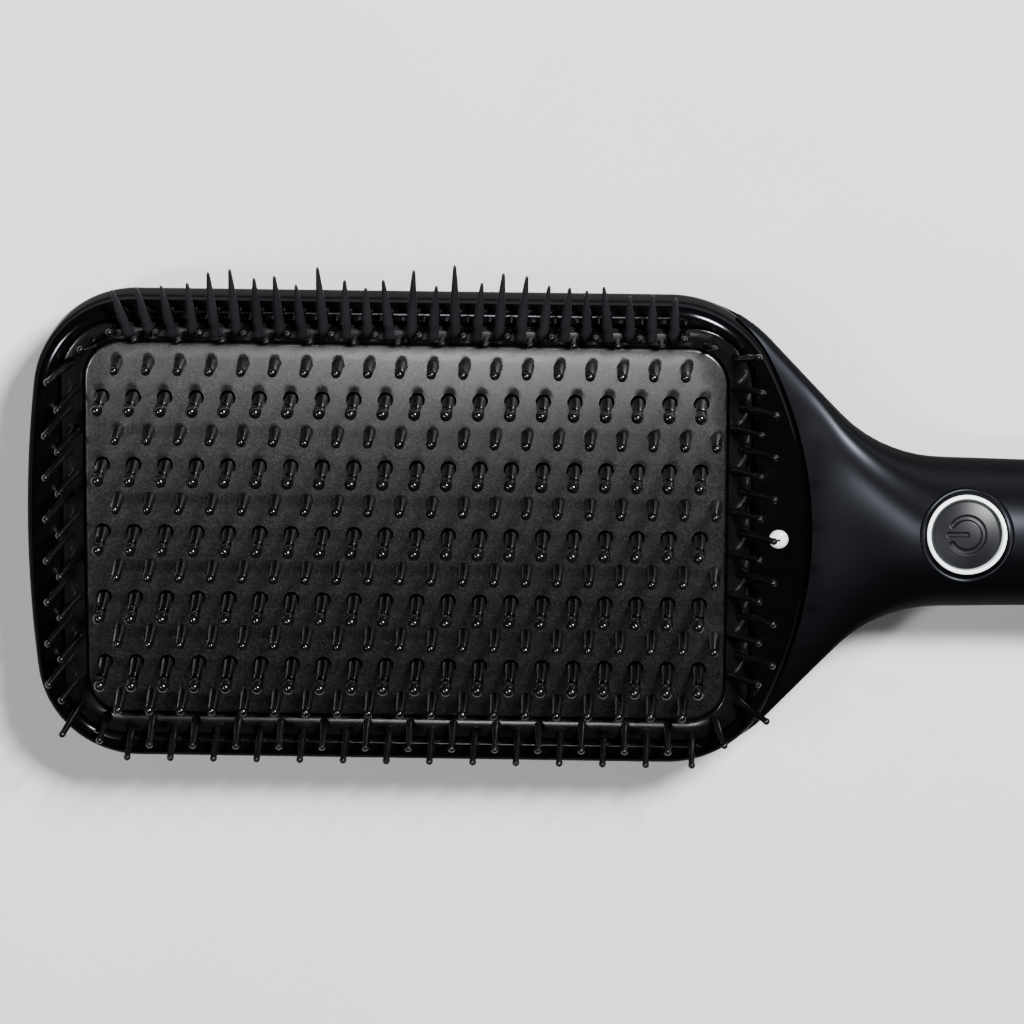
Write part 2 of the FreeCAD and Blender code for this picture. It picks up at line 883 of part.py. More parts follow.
def make_head_bezel():
    body = body_named("head_bezel")
    outline = sketch_on(body, "XY_Plane", "part_level")
    add_head_outline(outline, "0")
    pad(body, outline, "bezel_level - part_level")
    fillet_level(body, "bezel_level", "bezel_round")
    draft_foot(body, "part_level", BACK_INSET_AT_PART, "widest_level - part_level")
    hollow = sketch_on(body, "XY_Plane", "part_level")
    add_head_outline(hollow, f"wall + {BACK_INSET_AT_PART}")
    pocket(body, hollow, "flange_level - part_level")
    bosses = sketch_on(body, "XY_Plane", "part_level + shell_gap")
    for x, y in HEAD_SCREWS:
        add_circle(bosses, x, y, "head_boss_radius")
    pad(body, bosses, "flange_level - part_level")
    opening = sketch_on(body, "XY_Plane", "part_level")
    add_rounded(opening, "plate_centre + opening_shift", "opening_length", "opening_width", "opening_corner")
    pocket(body, opening, "bezel_level")
    nozzle_hole = sketch_on(body, "XY_Plane", "part_level")
    add_circle(nozzle_hole, "ion_place", "0", "ion_radius + fit_gap")
    pocket(body, nozzle_hole, "bezel_level")
    pilots = sketch_on(body, "XY_Plane", "part_level")
    for x, y in HEAD_SCREWS:
        add_circle(pilots, x, y, "screw_radius")
    pocket(body, pilots, "screw_reach - part_level")
    keep("head_bezel", body)


def make_face_plate():
    """The crowned sheet, with a wide vent round each post and a snug hole for each pin."""
    thick = number("plate_thick")
    sheet_form = crown_shell(number("plate_level"), thick)
    outline = rounded_prism(
        number("plate_centre"),
        number("plate_length"),
        number("plate_width"),
        number("plate_corner"),
        number("base_level"),
        number("plate_level") + 5,
    )
    plate = sheet_form.common(outline)
    vent = Part.makeCylinder(number("vent_radius"), 3 * thick, Vector(0, 0, -2 * thick))
    seat = Part.makeCylinder(number("pin_foot_radius + fit_gap"), 3 * thick, Vector(0, 0, -2 * thick))
    holes = [on_crown(vent, *spot) for row in post_rows() for spot in row]
    holes += [on_crown(seat, *spot) for row in pin_rows() for spot in row]
    keep("face_plate", from_shape("face_plate", plate.cut(Part.makeCompound(holes))))


def make_post_base():
    """The heated casting: crowned on top, flat below, with the water inlet."""
    top = number("plate_level - plate_thick - chamber_gap")
    margin = number("base_margin")
    form = rounded_prism(
        number("plate_centre"),
        number("plate_length") - 2 * margin,
        number("plate_width") - 2 * margin,
        number("plate_corner") - margin,
        number("base_level"),
        top + 5,
    )
    base = form.cut(crown_shell(top + 20, 20))
    x = number("inlet_place")
    y = number("feed_side")
    low = number("base_level - inlet_length")
    inlet = Part.makeCylinder(number("tube_radius"), top - 1 - low, Vector(x, y, low))
    bore = Part.makeCylinder(number("tube_bore"), top + 1 - low, Vector(x, y, low - 1))
    solid = base.fuse(inlet).cut(bore)
    for x, y in clamp_screw_places():
        hole = Part.makeCylinder(number("clamp_screw_radius"), 2.5, Vector(x, y, number("base_level") - 0.5))
        solid = solid.cut(hole)
    keep("post_base", from_shape("post_base", solid))


def make_post_rails():
    """A rail for each row of metal posts, lying on the casting; a spigot on each post takes its tip."""
    root = -number("plate_thick + chamber_gap") + 0.5 * number("rail_thick")
    high = number("post_height - tip_length")
    spigot = number("spigot_radius")
    post = taper(number("post_foot_radius"), number("post_top_radius"), root, high)
    post = post.fuse(Part.makeCylinder(spigot, number("spigot_length") + 0.5, Vector(0, 0, high - 0.5)))
    top = number("plate_level - plate_thick - chamber_gap + rail_thick")
    rails = []
    for row in post_rows():
        rail = crowned_strip(row, top, number("rail_thick"), number("rail_width"))
        rails.append(rail.multiFuse([on_crown(post, *spot) for spot in row]))
    keep("post_rails", from_shape("post_rails", Part.makeCompound(rails)))


def make_post_tips():
    """Round tips pushed onto the spigots of the posts."""
    high = number("post_height")
    low = number("post_height - tip_length")
    tip = ball_ended(number("tip_radius"), number("tip_radius"), low, high)
    depth = number("spigot_length + button_gap") + 1
    tip = tip.cut(Part.makeCylinder(number("spigot_radius + fit_gap"), depth, Vector(0, 0, low - 1)))
    tips = [on_crown(tip, *spot) for row in post_rows() for spot in row]
    keep("post_tips", from_shape("post_tips", Part.makeCompound(tips)))


def make_pin_strips():
    """A strip for each row of pins, under the face plate, with the pins pushed up through it."""
    thick = number("plate_thick")
    root = -thick - 0.5 * number("strip_thick")
    pin = ball_ended(number("pin_foot_radius"), number("pin_top_radius"), 0, number("pin_height"))
    pin = pin.fuse(Part.makeCylinder(number("pin_foot_radius"), -root, Vector(0, 0, root))).removeSplitter()
    top = number("plate_level - plate_thick")
    strips = []
    for row in pin_rows():
        strip = crowned_strip(row, top, number("strip_thick"), number("strip_width"))
        strips.append(strip.multiFuse([on_crown(pin, *spot) for spot in row]))
    keep("pin_strips", from_shape("pin_strips", Part.makeCompound(strips)))


def make_rim_bristles():
    """The frame round the plate, with two staggered rows of bristles that splay outwards."""
    gap = number("loose_gap")
    low = number("rim_foot_level")
    high = number("rim_level")
    frame = rounded_prism(
        number("plate_centre + opening_shift"),
        number("opening_length") - gap,
        number("opening_width") - gap,
        number("opening_corner") - gap / 2,
        low,
        high,
    )
    window = rounded_prism(
        number("plate_centre"),
        number("plate_length") + 2 * gap,
        number("plate_width") + 2 * gap,
        number("plate_corner") + gap,
        low - 1,
        high + 1,
    )
    frame = frame.cut(window)
    count, step = rim_step()
    bristles = []
    for k in range(count):
        outer = k % 2 == 1
        offset = number("rim_outer_offset" if outer else "rim_inner_offset")
        length = number("rim_long" if outer else "rim_short")
        x, y, out = round_the_plate((k + 0.5) * step, offset)
        end_splay = number("rim_neck_splay" if out[0] > 0 else "rim_tip_splay")
        splay = number("rim_splay") + (end_splay - number("rim_splay")) * out[0] ** 2
        stem = taper(number("rim_foot_radius"), number("rim_top_radius"), -0.8, length - 1)
        ball = Part.makeSphere(number("rim_ball_radius"), Vector(0, 0, length - number("rim_ball_radius")))
        bristles.append(leaning(stem.fuse(ball), x, y, high, out[0], out[1], splay))
    keep("rim_bristles", from_shape("rim_bristles", frame.multiFuse(bristles)))


def make_side_comb():
    """A strip of tapered bristles, long but for its two ends, that lean out over one side of the frame."""
    level = number("rim_level")
    foot = number("comb_foot_radius")
    row = number("plate_width / 2 + comb_offset")
    count, step = rim_step()
    bristles = []
    places = []
    for k in range(count):
        x, y, out = round_the_plate(k * step, number("comb_offset"))
        if out != (0, 1):
            continue
        rank = 0 if k % 5 == 1 else 1 + k % 2
        length = number("comb_long") - rank * number("comb_step")
        if not number("comb_start") < x < number("comb_end"):
            length = number("comb_short")
        cone = taper(foot, number("comb_top_radius"), 0, length).fuse(Part.makeSphere(foot))
        bristles.append(leaning(cone, x, row, level + foot + 0.1, 0, 1, number("comb_splay")))
        places.append(x)
    start = min(places) - step / 2
    width = number("comb_strip_width")
    corner = Vector(start, row - width / 2, level)
    strip = Part.makeBox(max(places) + step / 2 - start, width, number("comb_strip_thick"), corner)
    holes = []
    for k in range(count):
        offset = number("rim_outer_offset" if k % 2 == 1 else "rim_inner_offset")
        x, y, out = round_the_plate((k + 0.5) * step, offset)
        if out == (0, 1):
            spot = Vector(x, y, level - 1)
            holes.append(Part.makeCylinder(number("rim_foot_radius + button_gap"), 3, spot))
    comb = strip.cut(Part.makeCompound(holes)).multiFuse(bristles)
    keep("side_comb", from_shape("side_comb", comb))


# ---- head: heated stack ------------------------------------------------------------------------------------


def clamp_screw_places():
    x = number("clamp_screw_x")
    y = number("clamp_screw_y")
    middle = number("bar_middle")
    return [(middle + i * x, j * y) for i in (-1, 1) for j in (-1, 1)]


def make_chamber_gasket():
    """The seal between the crowned plate and the crowned casting, notched for the strips of the pins."""
    level = number("plate_level - plate_thick")
    margin = number("base_margin")
    width = number("gasket_width")
    length = number("plate_length") - 2 * margin
    across = number("plate_width") - 2 * margin
    corner = number("plate_corner") - margin
    middle = number("plate_centre")
    low = number("base_level")
    high = number("plate_level") + 2
    ring = rounded_prism(middle, length, across, corner, low, high)
    ring = ring.cut(
        rounded_prism(middle, length - 2 * width, across - 2 * width, corner - width, low - 1, high + 1)
    )
    gasket = crown_shell(level, number("chamber_gap")).common(ring)
    spare = number("fit_gap")
    thick = number("strip_thick") + spare
    notches = [crowned_strip(row, level, thick, number("strip_width"), spare) for row in pin_rows()]
    gasket = gasket.cut(Part.makeCompound(notches))
    keep("chamber_gasket", from_shape("chamber_gasket", gasket))


def make_heater_carrier():
    body = body_named("heater_carrier")
    frame = sketch_on(body, "XY_Plane", "carrier_foot")
    add_rounded(
        frame,
        "plate_centre + opening_shift",
        "opening_length",
        f"head_width - 2 * (wall + {BACK_INSET_AT_PART} + loose_gap)",
        "carrier_corner",
    )
    pad(body, frame, "rim_foot_level - carrier_foot")
    window = sketch_on(body, "XY_Plane", "base_level")
    add_rounded(
        window,
        "plate_centre",
        "plate_length + 2 * loose_gap",
        "plate_width + 2 * loose_gap",
        "plate_corner + loose_gap",
    )
    pocket(body, window, "rim_foot_level")
    floor = sketch_on(body, "XY_Plane", "carrier_foot")
    add_rounded(
        floor,
        "plate_centre",
        "plate_length - 2 * carrier_shelf",
        "plate_width - 2 * carrier_shelf",
        "plate_corner",
    )
    pocket(body, floor, "rim_foot_level")
    keep("heater_carrier", body)


def make_heater_bars():
    bars = []
    for sign in ("-", ""):
        bars.append(
            box(
                "bar",
                "bar_middle - bar_length / 2",
                f"{sign}bar_side - bar_width / 2",
                "base_level - bar_thick",
                "bar_length",
                "bar_width",
                "bar_thick",
            )
        )
    keep("heater_bars", group("heater_bars", bars))


def make_heater_clamp():
    """The plate under the bars, with the holes of its screws and of the water inlet."""
    body = body_named("heater_clamp")
    plate = sketch_on(body, "XY_Plane", "base_level - bar_thick - clamp_thick")
    add_rounded(plate, "bar_middle", "clamp_length", "clamp_width", "plate_corner")
    pad(body, plate, "clamp_thick")
    holes = sketch_on(body, "XY_Plane", "base_level - bar_thick - clamp_thick")
    for sign_x in ("-", "+"):
        for sign_y in ("-", ""):
            x = f"bar_middle {sign_x} clamp_screw_x"
            add_circle(holes, x, f"{sign_y}clamp_screw_y", "clamp_screw_radius + button_gap")
    add_circle(holes, "inlet_place", "feed_side", "tube_radius + loose_gap")
    pocket(body, holes, "clamp_thick")
    keep("heater_clamp", body)


def make_clamp_screws():
    screws = []
    for sign_x in ("-", "+"):
        for sign_y in ("-", ""):
            screw = turned(
                "clamp_screw",
                [
                    ("0", "-clamp_head_thick"),
                    ("clamp_head_radius", "-clamp_head_thick"),
                    ("clamp_head_radius", "0"),
                    ("clamp_screw_radius - fit_gap", "0"),
                    ("clamp_screw_radius - fit_gap", "clamp_thick + bar_thick + 1.8"),
                    ("0", "clamp_thick + bar_thick + 1.8"),
                ],
            )
            x = f"bar_middle {sign_x} clamp_screw_x"
            place(screw, x, f"{sign_y}clamp_screw_y", "base_level - bar_thick - clamp_thick")
            screws.append(screw)
    keep("clamp_screws", group("clamp_screws", screws))


def make_heat_shield():
    body = body_named("heat_shield")
    sketch = sketch_on(body, "XY_Plane", "shield_level")
    add_rounded(sketch, "bar_middle - 2", "shield_length", "shield_width", "plate_corner")
    pad(body, sketch, "shield_thick")
    keep("heat_shield", body)


def make_heat_sensors():
    """The thermal fuse and the thermistor, flat against the casting between the bars."""
    under = "base_level - fuse_radius"
    keep("thermal_fuse", rod_along("fuse", "bar_middle + 10", "0", under, "fuse_radius", "fuse_length"))
    bead_level = "base_level - bead_radius"
    keep("thermistor", rod_along("bead", "bar_middle - 14", "0", bead_level, "bead_radius", "bead_length"))


# ---- head: water and ions ----------------------------------------------------------------------------------


def make_water_tank():
    body = body_named("water_tank")
    outside = sketch_on(body, "XY_Plane", "tank_foot")
    add_rounded(outside, "tank_middle", "tank_length", "tank_width", "tank_corner")
    pad(body, outside, "tank_top - tank_foot")
    neck = sketch_on(body, "XY_Plane", "wall")
    add_circle(neck, "tank_middle", "0", "filler_radius + filler_wall")
    pad(body, neck, "tank_foot - wall + tank_wall")
    shell = box(
        "tank_inside",
        "tank_middle - tank_length / 2 + tank_wall",
        "-tank_width / 2 + tank_wall",
        "tank_foot + tank_wall",
        "tank_length - 2 * tank_wall",
        "tank_width - 2 * tank_wall",
        "tank_top - tank_foot - 2 * tank_wall",
    )
    high = "tank_foot - wall + tank_wall + 2"
    filler = rod("filler_hole", "tank_middle", "0", "wall - 1", "filler_radius", high)
    end = "tank_middle + tank_length / 2 - tank_wall / 2"
    stub = rod_along("tank_stub", end, "suction_side", "suction_level", "tube_radius", "stub_length")
    start = f"{end} - tank_wall"
    length = "stub_length + 2 * tank_wall"
    bore = rod_along("tank_bore", start, "suction_side", "suction_level", "tube_bore", length)
    whole = fuse("tank_outside", [body, stub])
    keep("water_tank", cut("water_tank", whole, group("tank_hollows", [shell, filler, bore])))


def make_filler_plug():
    plug = turned(
        "filler_plug",
        [
            ("0", "0"),
            ("plug_head_radius", "0"),
            ("plug_head_radius", "plug_head_thick"),
            ("filler_radius - fit_gap", "plug_head_thick"),
            ("filler_radius - fit_gap", "tank_foot + tank_wall - plug_recess"),
            ("0", "tank_foot + tank_wall - plug_recess"),
        ],
    )
    place(plug, "tank_middle", "0", "plug_recess")
    keep("filler_plug", plug)


def make_pump():
    motor = rod_along("motor", "pump_start", "pump_side", "pump_level", "pump_radius", "pump_length")
    stubs = []
    for side in ("suction", "feed"):
        x = "pump_start - stub_length"
        stubs.append(rod_along("stub", x, f"{side}_side", f"{side}_level", "tube_radius", "stub_length + 1"))
    keep("pump", fuse("pump", [motor] + stubs))


def make_tubes():
    """The hoses from tank to pump and from pump to casting, each a whole piece with its bore."""
    start = number("tank_middle + tank_length / 2 - tank_wall / 2 + stub_length")
    end = number("pump_start - stub_length")
    low = Vector(start, number("suction_side"), number("suction_level"))
    run = [low, Vector(end, low.y, low.z)]
    suction = routed(run, number("tube_radius")).cut(routed(run, number("tube_bore")))
    keep("suction_tube", from_shape("suction_tube", suction))
    side = number("feed_side")
    level = number("feed_level")
    place_x = number("inlet_place")
    top = number("base_level - inlet_length")
    run = [Vector(end, side, level), Vector(place_x, side, level), Vector(place_x, side, top)]
    feed = routed(run, number("tube_radius")).cut(routed(run, number("tube_bore")))
    keep("feed_tube", from_shape("feed_tube", feed))


def make_ion_parts():
    right = "ioniser_left - ioniser_width"
    high = "ioniser_top - ioniser_foot"
    case = box("ioniser", "ioniser_start", right, "ioniser_foot", "ioniser_length", "ioniser_width", high)
    keep("ioniser_module", case)
    needle = turned(
        "needle",
        [
            ("0", "ioniser_top"),
            ("needle_base_radius", "ioniser_top"),
            ("needle_base_radius", "ioniser_top + 1.5"),
            ("needle_radius", "ioniser_top + 1.5"),
            ("needle_radius", "bezel_level - 2"),
            ("0", "bezel_level - 0.6"),
        ],
    )
    keep("emitter_needle", place(needle, "ion_place"))
    outlet = turned(
        "outlet",
        [
            ("ion_bore", "ion_foot"),
            ("ion_radius", "ion_foot"),
            ("ion_radius", "bezel_level"),
            ("ion_radius * 0.87", "bezel_level + ion_stand * 0.5"),
            ("ion_radius * 0.6", "bezel_level + ion_stand * 0.87"),
            ("ion_bore", "bezel_level + ion_stand"),
        ],
    )
    keep("ion_outlet", place(outlet, "ion_place"))


# ---- shells ------------------------------------------------------------------------------------------------


def handle_screw_places():
    return [number("handle_screw_near"), number("handle_screw_far")]


def shell_parts():
    """Both shells as outside form less inside form, before their bosses and holes."""
    start = number("neck_start") - 1
    end = number("handle_end")
    wall = number("wall")
    outer = neck_form(0, start, end)
    inner = neck_form(wall, start - 1, end + 1)
    return outer, inner


def make_back_shell(outer, inner):
    wall = number("wall")
    start = number("neck_start") - 1
    end = number("handle_end")
    half_space = Part.makeBox(400, 400, 400, Vector(start - 400, -200, -200))
    pan = head_pan(0).common(half_space)
    hollow = head_pan(wall).common(half_space)
    grip = outer.common(lower_zone(0, 0))
    floor = Part.makeBox(400, 400, 100, Vector(-100, -200, wall))
    cavity = inner.common(floor)
    seat_x = number("tank_middle")
    recess = number("plug_recess + plug_head_thick") + 0.2
    seat_top = number("tank_foot") - 0.3
    seat = Part.makeCylinder(number("plug_head_radius") + 2, seat_top, Vector(seat_x, 0, 0))
    ribs = []
    for i in (-1, 1):
        for j in (-1, 1):
            foot = Vector(i * 45 + number("plate_centre"), j * number("plate_width / 2 + loose_gap"), 4)
            ribs.append(Part.makeCylinder(2, number("carrier_foot") - 4.05, foot))
    bosses = []
    holes = []
    for x, y in HEAD_SCREWS:
        spot = Vector(number(x), number(y), 0)
        bosses.append(Part.makeCylinder(number("screw_head_radius") + 1.6, number("part_level"), spot))
        deep = number("head_seat")
        holes.append(Part.makeCylinder(number("screw_head_radius + fit_gap"), deep, spot))
        holes.append(Part.makeCylinder(number("screw_radius") + 0.2, 30, spot))
    well = number("screw_head_radius + fit_gap")
    boss_radius = number("screw_head_radius") + 1.8
    for x in handle_screw_places():
        spot = Vector(x, 0, 0)
        bosses.append(Part.makeCylinder(boss_radius, number("handle_level") - 0.2, spot))
        holes.append(Part.makeCylinder(well, number("handle_screw_seat"), spot))
        holes.append(Part.makeCylinder(number("screw_radius") + 0.2, 40, spot))
    for x in mains_screw_places():
        spot = Vector(x, 0, 0)
        bosses.append(Part.makeCylinder(2.6, number("mains_board_level"), spot))
        pilot = Vector(x, 0, number("mains_board_level") - 5)
        holes.append(Part.makeCylinder(number("board_screw_radius"), 6, pilot))
    outside = pan.fuse(grip)
    shell = outside.cut(hollow).cut(cavity)
    lumps = bosses[0].multiFuse(bosses[1:] + ribs + [seat]).common(outside)
    shell = shell.fuse(lumps)
    plug_hole = Part.makeCylinder(number("plug_head_radius") + 0.3, recess, Vector(seat_x, 0, 0))
    neck_radius = number("filler_radius + filler_wall") + 0.2
    neck_hole = Part.makeCylinder(neck_radius, seat_top + 1, Vector(seat_x, 0, 0))
    shell = shell.cut(Part.makeCompound(holes + [plug_hole, neck_hole]))
    spigot = Part.makeCylinder(
        number("tail_radius") + 5, number("cap_spigot"), Vector(end, 0, number("handle_level")), ALONG
    )
    keep("back_shell", from_shape("back_shell", shell.cut(spigot)))


MAINS_SCREWS = (
    "mains_board_start + mains_screw_inset",
    "mains_board_start + mains_board_length - mains_screw_inset",
)


def mains_screw_places():
    return [number(place_x) for place_x in MAINS_SCREWS]


def button_space(solid):
    """Moves a solid from the button's own frame into the brush."""
    moved = solid.copy()
    moved.rotate(Vector(), ALONG, -number("button_turn"))
    moved.translate(Vector(number("button_place"), 0, number("handle_level")))
    return moved


def make_front_shell(outer, inner):
    """The front half of neck and handle, cut to the bezel's outline, with the well of the button."""
    zone = lower_zone(-60, number("shell_gap"))
    gap = number("seam_gap")
    bezel = Part.Face(head_wire(-gap, 0)).extrude(Vector(0, 0, 60))
    tip = Part.makeBox(200, 400, 200, Vector(number("shell_tip") - 200, -200, -50))
    shell = outer.cut(inner).cut(zone).cut(bezel).cut(tip)
    screen = outer.cut(zone).cut(bezel).cut(tip)
    posts = []
    holes = []
    for x in handle_screw_places():
        spot = Vector(x, 0, number("handle_level + shell_gap"))
        posts.append(Part.makeCylinder(number("handle_post_radius"), 20, spot))
        deep = number("handle_screw_reach - handle_level")
        holes.append(Part.makeCylinder(number("screw_radius"), deep, spot))
    level = number("board_level + board_thick")
    for place_x in (number("board_screw_near"), number("board_screw_far")):
        spot = Vector(place_x, 0, level)
        posts.append(button_space(Part.makeCylinder(2.2, 20, spot)))
        holes.append(button_space(Part.makeCylinder(number("board_screw_radius"), 6, spot)))
    shell = shell.fuse(posts[0].multiFuse(posts[1:]).common(screen))
    well = Part.makeCylinder(number("ring_outer_radius + button_gap"), 30, Vector(0, 0, 5))
    surface = number("handle_radius - groove_depth")
    groove = Part.makeCylinder(number("groove_radius"), 30, Vector(0, 0, 5))
    core = Part.makeCylinder(surface, 60, Vector(-30, 0, 0), ALONG)
    groove = groove.cut(core)
    holes += [button_space(well), button_space(groove)]
    keep("handle_front_shell", from_shape("handle_front_shell", shell.cut(Part.makeCompound(holes))))


# ---- button and boards, in the button's own frame ----------------------------------------------------------


def make_light_ring():
    """A clear ring whose top follows the round of the handle, with a flange under the shell."""
    ring = turned(
        "ring",
        [
            ("ring_inner_radius", "light_board_level + light_board_thick"),
            ("ring_flange_radius", "light_board_level + light_board_thick"),
            ("ring_flange_radius", "light_board_level + light_board_thick + ring_flange_thick"),
            ("ring_outer_radius", "light_board_level + light_board_thick + ring_flange_thick"),
            ("ring_outer_radius", "handle_radius + 1"),
            ("ring_inner_radius", "handle_radius + 1"),
        ],
    )
    length = "2 * ring_outer_radius + 10"
    round_off = rod_along("ring_round", "-ring_outer_radius - 5", "0", "0", "handle_radius", length)
    keep("light_ring", place_in_button_frame(common("light_ring", [ring, round_off])))


def make_power_button():
    """A slightly domed cap on a stem, with the power symbol cut into its top."""
    cap = turned(
        "cap",
        [
            ("0", "switch_top + 1.1"),
            ("button_flange_radius", "switch_top + 1.1"),
            ("button_flange_radius", "switch_top + 1.1 + button_flange_thick"),
            ("button_stem_radius", "switch_top + 1.1 + button_flange_thick"),
            ("button_stem_radius", "button_foot"),
            ("button_radius", "button_foot"),
            ("button_radius", "button_rim - dome_height"),
            ("button_radius * 0.75", "button_rim - dome_height * 0.5625"),
            ("button_radius * 0.5", "button_rim - dome_height * 0.25"),
            ("button_radius * 0.25", "button_rim - dome_height * 0.0625"),
            ("0", "button_rim"),
        ],
    )
    r = number("symbol_radius")
    line = number("symbol_line")
    high = 2
    low = number("button_rim - dome_height * (symbol_radius / button_radius) ^ 2 - symbol_depth")
    arc = Part.makeCylinder(r, high, Vector(0, 0, low)).cut(
        Part.makeCylinder(r - line, high + 2, Vector(0, 0, low - 1))
    )
    half = math.radians(number("symbol_gap"))
    reach = 2 * r
    wedge_points = [
        Vector(0, 0, low - 1),
        Vector(-reach, reach * math.tan(half), low - 1),
        Vector(-reach, -reach * math.tan(half), low - 1),
        Vector(0, 0, low - 1),
    ]
    wedge = Part.Face(Part.makePolygon(wedge_points)).extrude(Vector(0, 0, high + 2))
    bar = Part.makeBox(number("symbol_bar"), line, high, Vector(-number("symbol_bar"), -line / 2, low))
    carve = from_shape("carve", arc.cut(wedge).fuse(bar))
    keep("power_button", place_in_button_frame(cut("power_button", cap, carve)))


def make_switch():
    half = "switch_side / 2"
    top = "board_level + board_thick"
    case = box("case", f"-{half}", f"-{half}", top, "switch_side", "switch_side", f"switch_top - ({top})")
    well = rod("well", "0", "0", f"{top} + 0.4", "plunger_radius + fit_gap", "10")
    keep("tact_switch", place_in_button_frame(cut("tact_switch", case, well)))
    stem = rod("stem", "0", "0", "switch_top + 1.1 - plunger_length", "plunger_radius", "plunger_length")
    holder = group("switch_plunger", [stem])
    keep("switch_plunger", place_in_button_frame(holder))


def make_light_board():
    """The ring-shaped board with its lights, under the light ring."""
    board = turned(
        "board",
        [
            ("light_board_hole", "light_board_level"),
            ("ring_flange_radius", "light_board_level"),
            ("ring_flange_radius", "light_board_level + light_board_thick"),
            ("light_board_hole", "light_board_level + light_board_thick"),
        ],
    )
    keep("led_board", place_in_button_frame(group("led_board", [board])))


def make_control_board():
    side = "-board_width / 2"
    board = box("plain", "board_start", side, "board_level", "board_length", "board_width", "board_thick")
    holes = []
    for place_x in ("board_screw_near", "board_screw_far"):
        hole = rod("hole", place_x, "0", "board_level - 1", "board_screw_radius + 0.15", "board_thick + 2")
        holes.append(hole)
    keep("control_board", place_in_button_frame(cut("control_board", board, group("holes", holes))))


def make_mains_board():
    board = box(
        "plain",
        "mains_board_start",
        "-mains_board_width / 2",
        "mains_board_level",
        "mains_board_length",
        "mains_board_width",
        "board_thick",
    )
    holes = []
    for x in MAINS_SCREWS:
        hole = rod("hole", x, "0", "mains_board_level - 1", "board_screw_radius + 0.15", "board_thick + 2")
        holes.append(hole)
    keep("mains_board", cut("mains_board", board, group("holes", holes)))
    top = "mains_board_level + board_thick"
    start = "mains_board_start"
    parts_on_board = [
        box("transformer", f"{start} + 7", "-8", top, "12", "11", "9"),
        rod("capacitor", f"{start} + 14", "7", top, "3", "10"),
        box("relay", f"{start} + 21", "-8", top, "7", "12", "7"),
        rod("filter", f"{start} + 26", "7.4", top, "2.6", "7"),
    ]
    keep("mains_parts", group("mains_parts", parts_on_board))


def make_board_screws():
    """The screws of both boards: the head, then the thread in its boss."""
    screws = []
    for place_x in ("board_screw_near", "board_screw_far"):
        screw = turned("board_screw", screw_profile("board_screw_radius", "1.9", "1.1", "board_thick + 4"))
        place(screw, place_x, "0", "board_level")
        screws.append(screw)
    upper = place_in_button_frame(group("upper_screws", screws))
    lower = []
    for x in MAINS_SCREWS:
        screw = turned("board_screw", screw_profile("board_screw_radius", "1.9", "1.1", "board_thick + 4"))
        screw.Placement = Placement(Vector(), Rotation(ALONG, 180))
        place(screw, x, "0", "mains_board_level + board_thick")
        lower.append(screw)
    keep("board_screws", group("board_screws", [upper] + lower))


def screw_profile(radius, head_radius, head_thick, length):
    """Head below zero, thread above it."""
    return [
        ("0", f"-({head_thick})"),
        (head_radius, f"-({head_thick})"),
        (head_radius, "0"),
        (f"{radius} - fit_gap", "0"),
        (f"{radius} - fit_gap", length),
        ("0", length),
    ]


# ---- fasteners, wires and tail -----------------------------------------------------------------------------


def case_screw(length):
    return screw_profile("screw_radius", "screw_head_radius", "screw_head_thick", length)


def make_case_screws():
    screws = []
    for x, y in HEAD_SCREWS:
        length = "screw_reach - head_seat - 0.5"
        screw = turned("head_screw", case_screw(length))
        screws.append(place(screw, x, y, "head_seat"))
    keep("head_screws", group("head_screws", screws))
    screws = []
    caps = []
    for name in ("handle_screw_near", "handle_screw_far"):
        length = "handle_screw_reach - handle_screw_seat - 0.5"
        screw = turned("case_screw", case_screw(length))
        screws.append(place(screw, name, "0", "handle_screw_seat"))
        level = "handle_screw_seat - screw_head_thick - cap_thick - 0.2"
        caps.append(rod("screw_cap", name, "0", level, "screw_head_radius", "cap_thick"))
    keep("handle_screws", group("handle_screws", screws))
    keep("screw_caps", group("screw_caps", caps))


def make_leads():
    """The two wires of the heating bars, one each side, whole from bar to mains board."""
    leads = []
    end_x = number("bar_middle + bar_length / 2")
    level = number("lead_level")
    run = number("lead_run_level")
    side = number("lead_side")
    low = number("lead_handle_level")
    near = number("lead_handle_side")
    board = number("mains_board_start") + 1.5
    for sign in (-1, 1):
        points = [
            Vector(end_x, sign * side, level),
            Vector(end_x + 5, sign * side, level),
            Vector(end_x + 9, sign * (side + 0.3), run + 0.5),
            Vector(end_x + 16, sign * (side + 0.6), run),
            Vector(end_x + 30, sign * (side + 0.6), run),
            Vector(end_x + 42, sign * (side - 1.6), run + 0.8),
            Vector(end_x + 54, sign * (near + 3.2), low + 0.9),
            Vector(end_x + 66, sign * (near + 0.8), low + 0.5),
            Vector(end_x + 84, sign * near, low - 0.2),
            Vector(board - 7, sign * near, low),
            Vector(board, sign * near, low),
            Vector(board, sign * near, number("mains_board_level")),
        ]
        leads.append(routed(points, number("wire_radius")))
    keep("heater_leads", from_shape("heater_leads", Part.makeCompound(leads)))
    mains = []
    start = number("handle_end + cap_length - cap_wall - swivel_inside - 0.5")
    level = number("mains_board_level + board_thick")
    board_end = number("mains_board_start + mains_board_length")
    for sign in (-1, 1):
        points = [
            Vector(start, sign * 1.7, number("handle_level")),
            Vector(start - 7, sign * 2.0, number("handle_level")),
            Vector(start - 15, sign * 6.6, number("handle_level") + 1.2),
            Vector(board_end - 7, sign * 6.6, number("handle_level") + 1.2),
            Vector(board_end - 7, sign * 6.6, level),
        ]
        mains.append(routed(points, number("wire_radius")))
    keep("mains_leads", from_shape("mains_leads", Part.makeCompound(mains)))


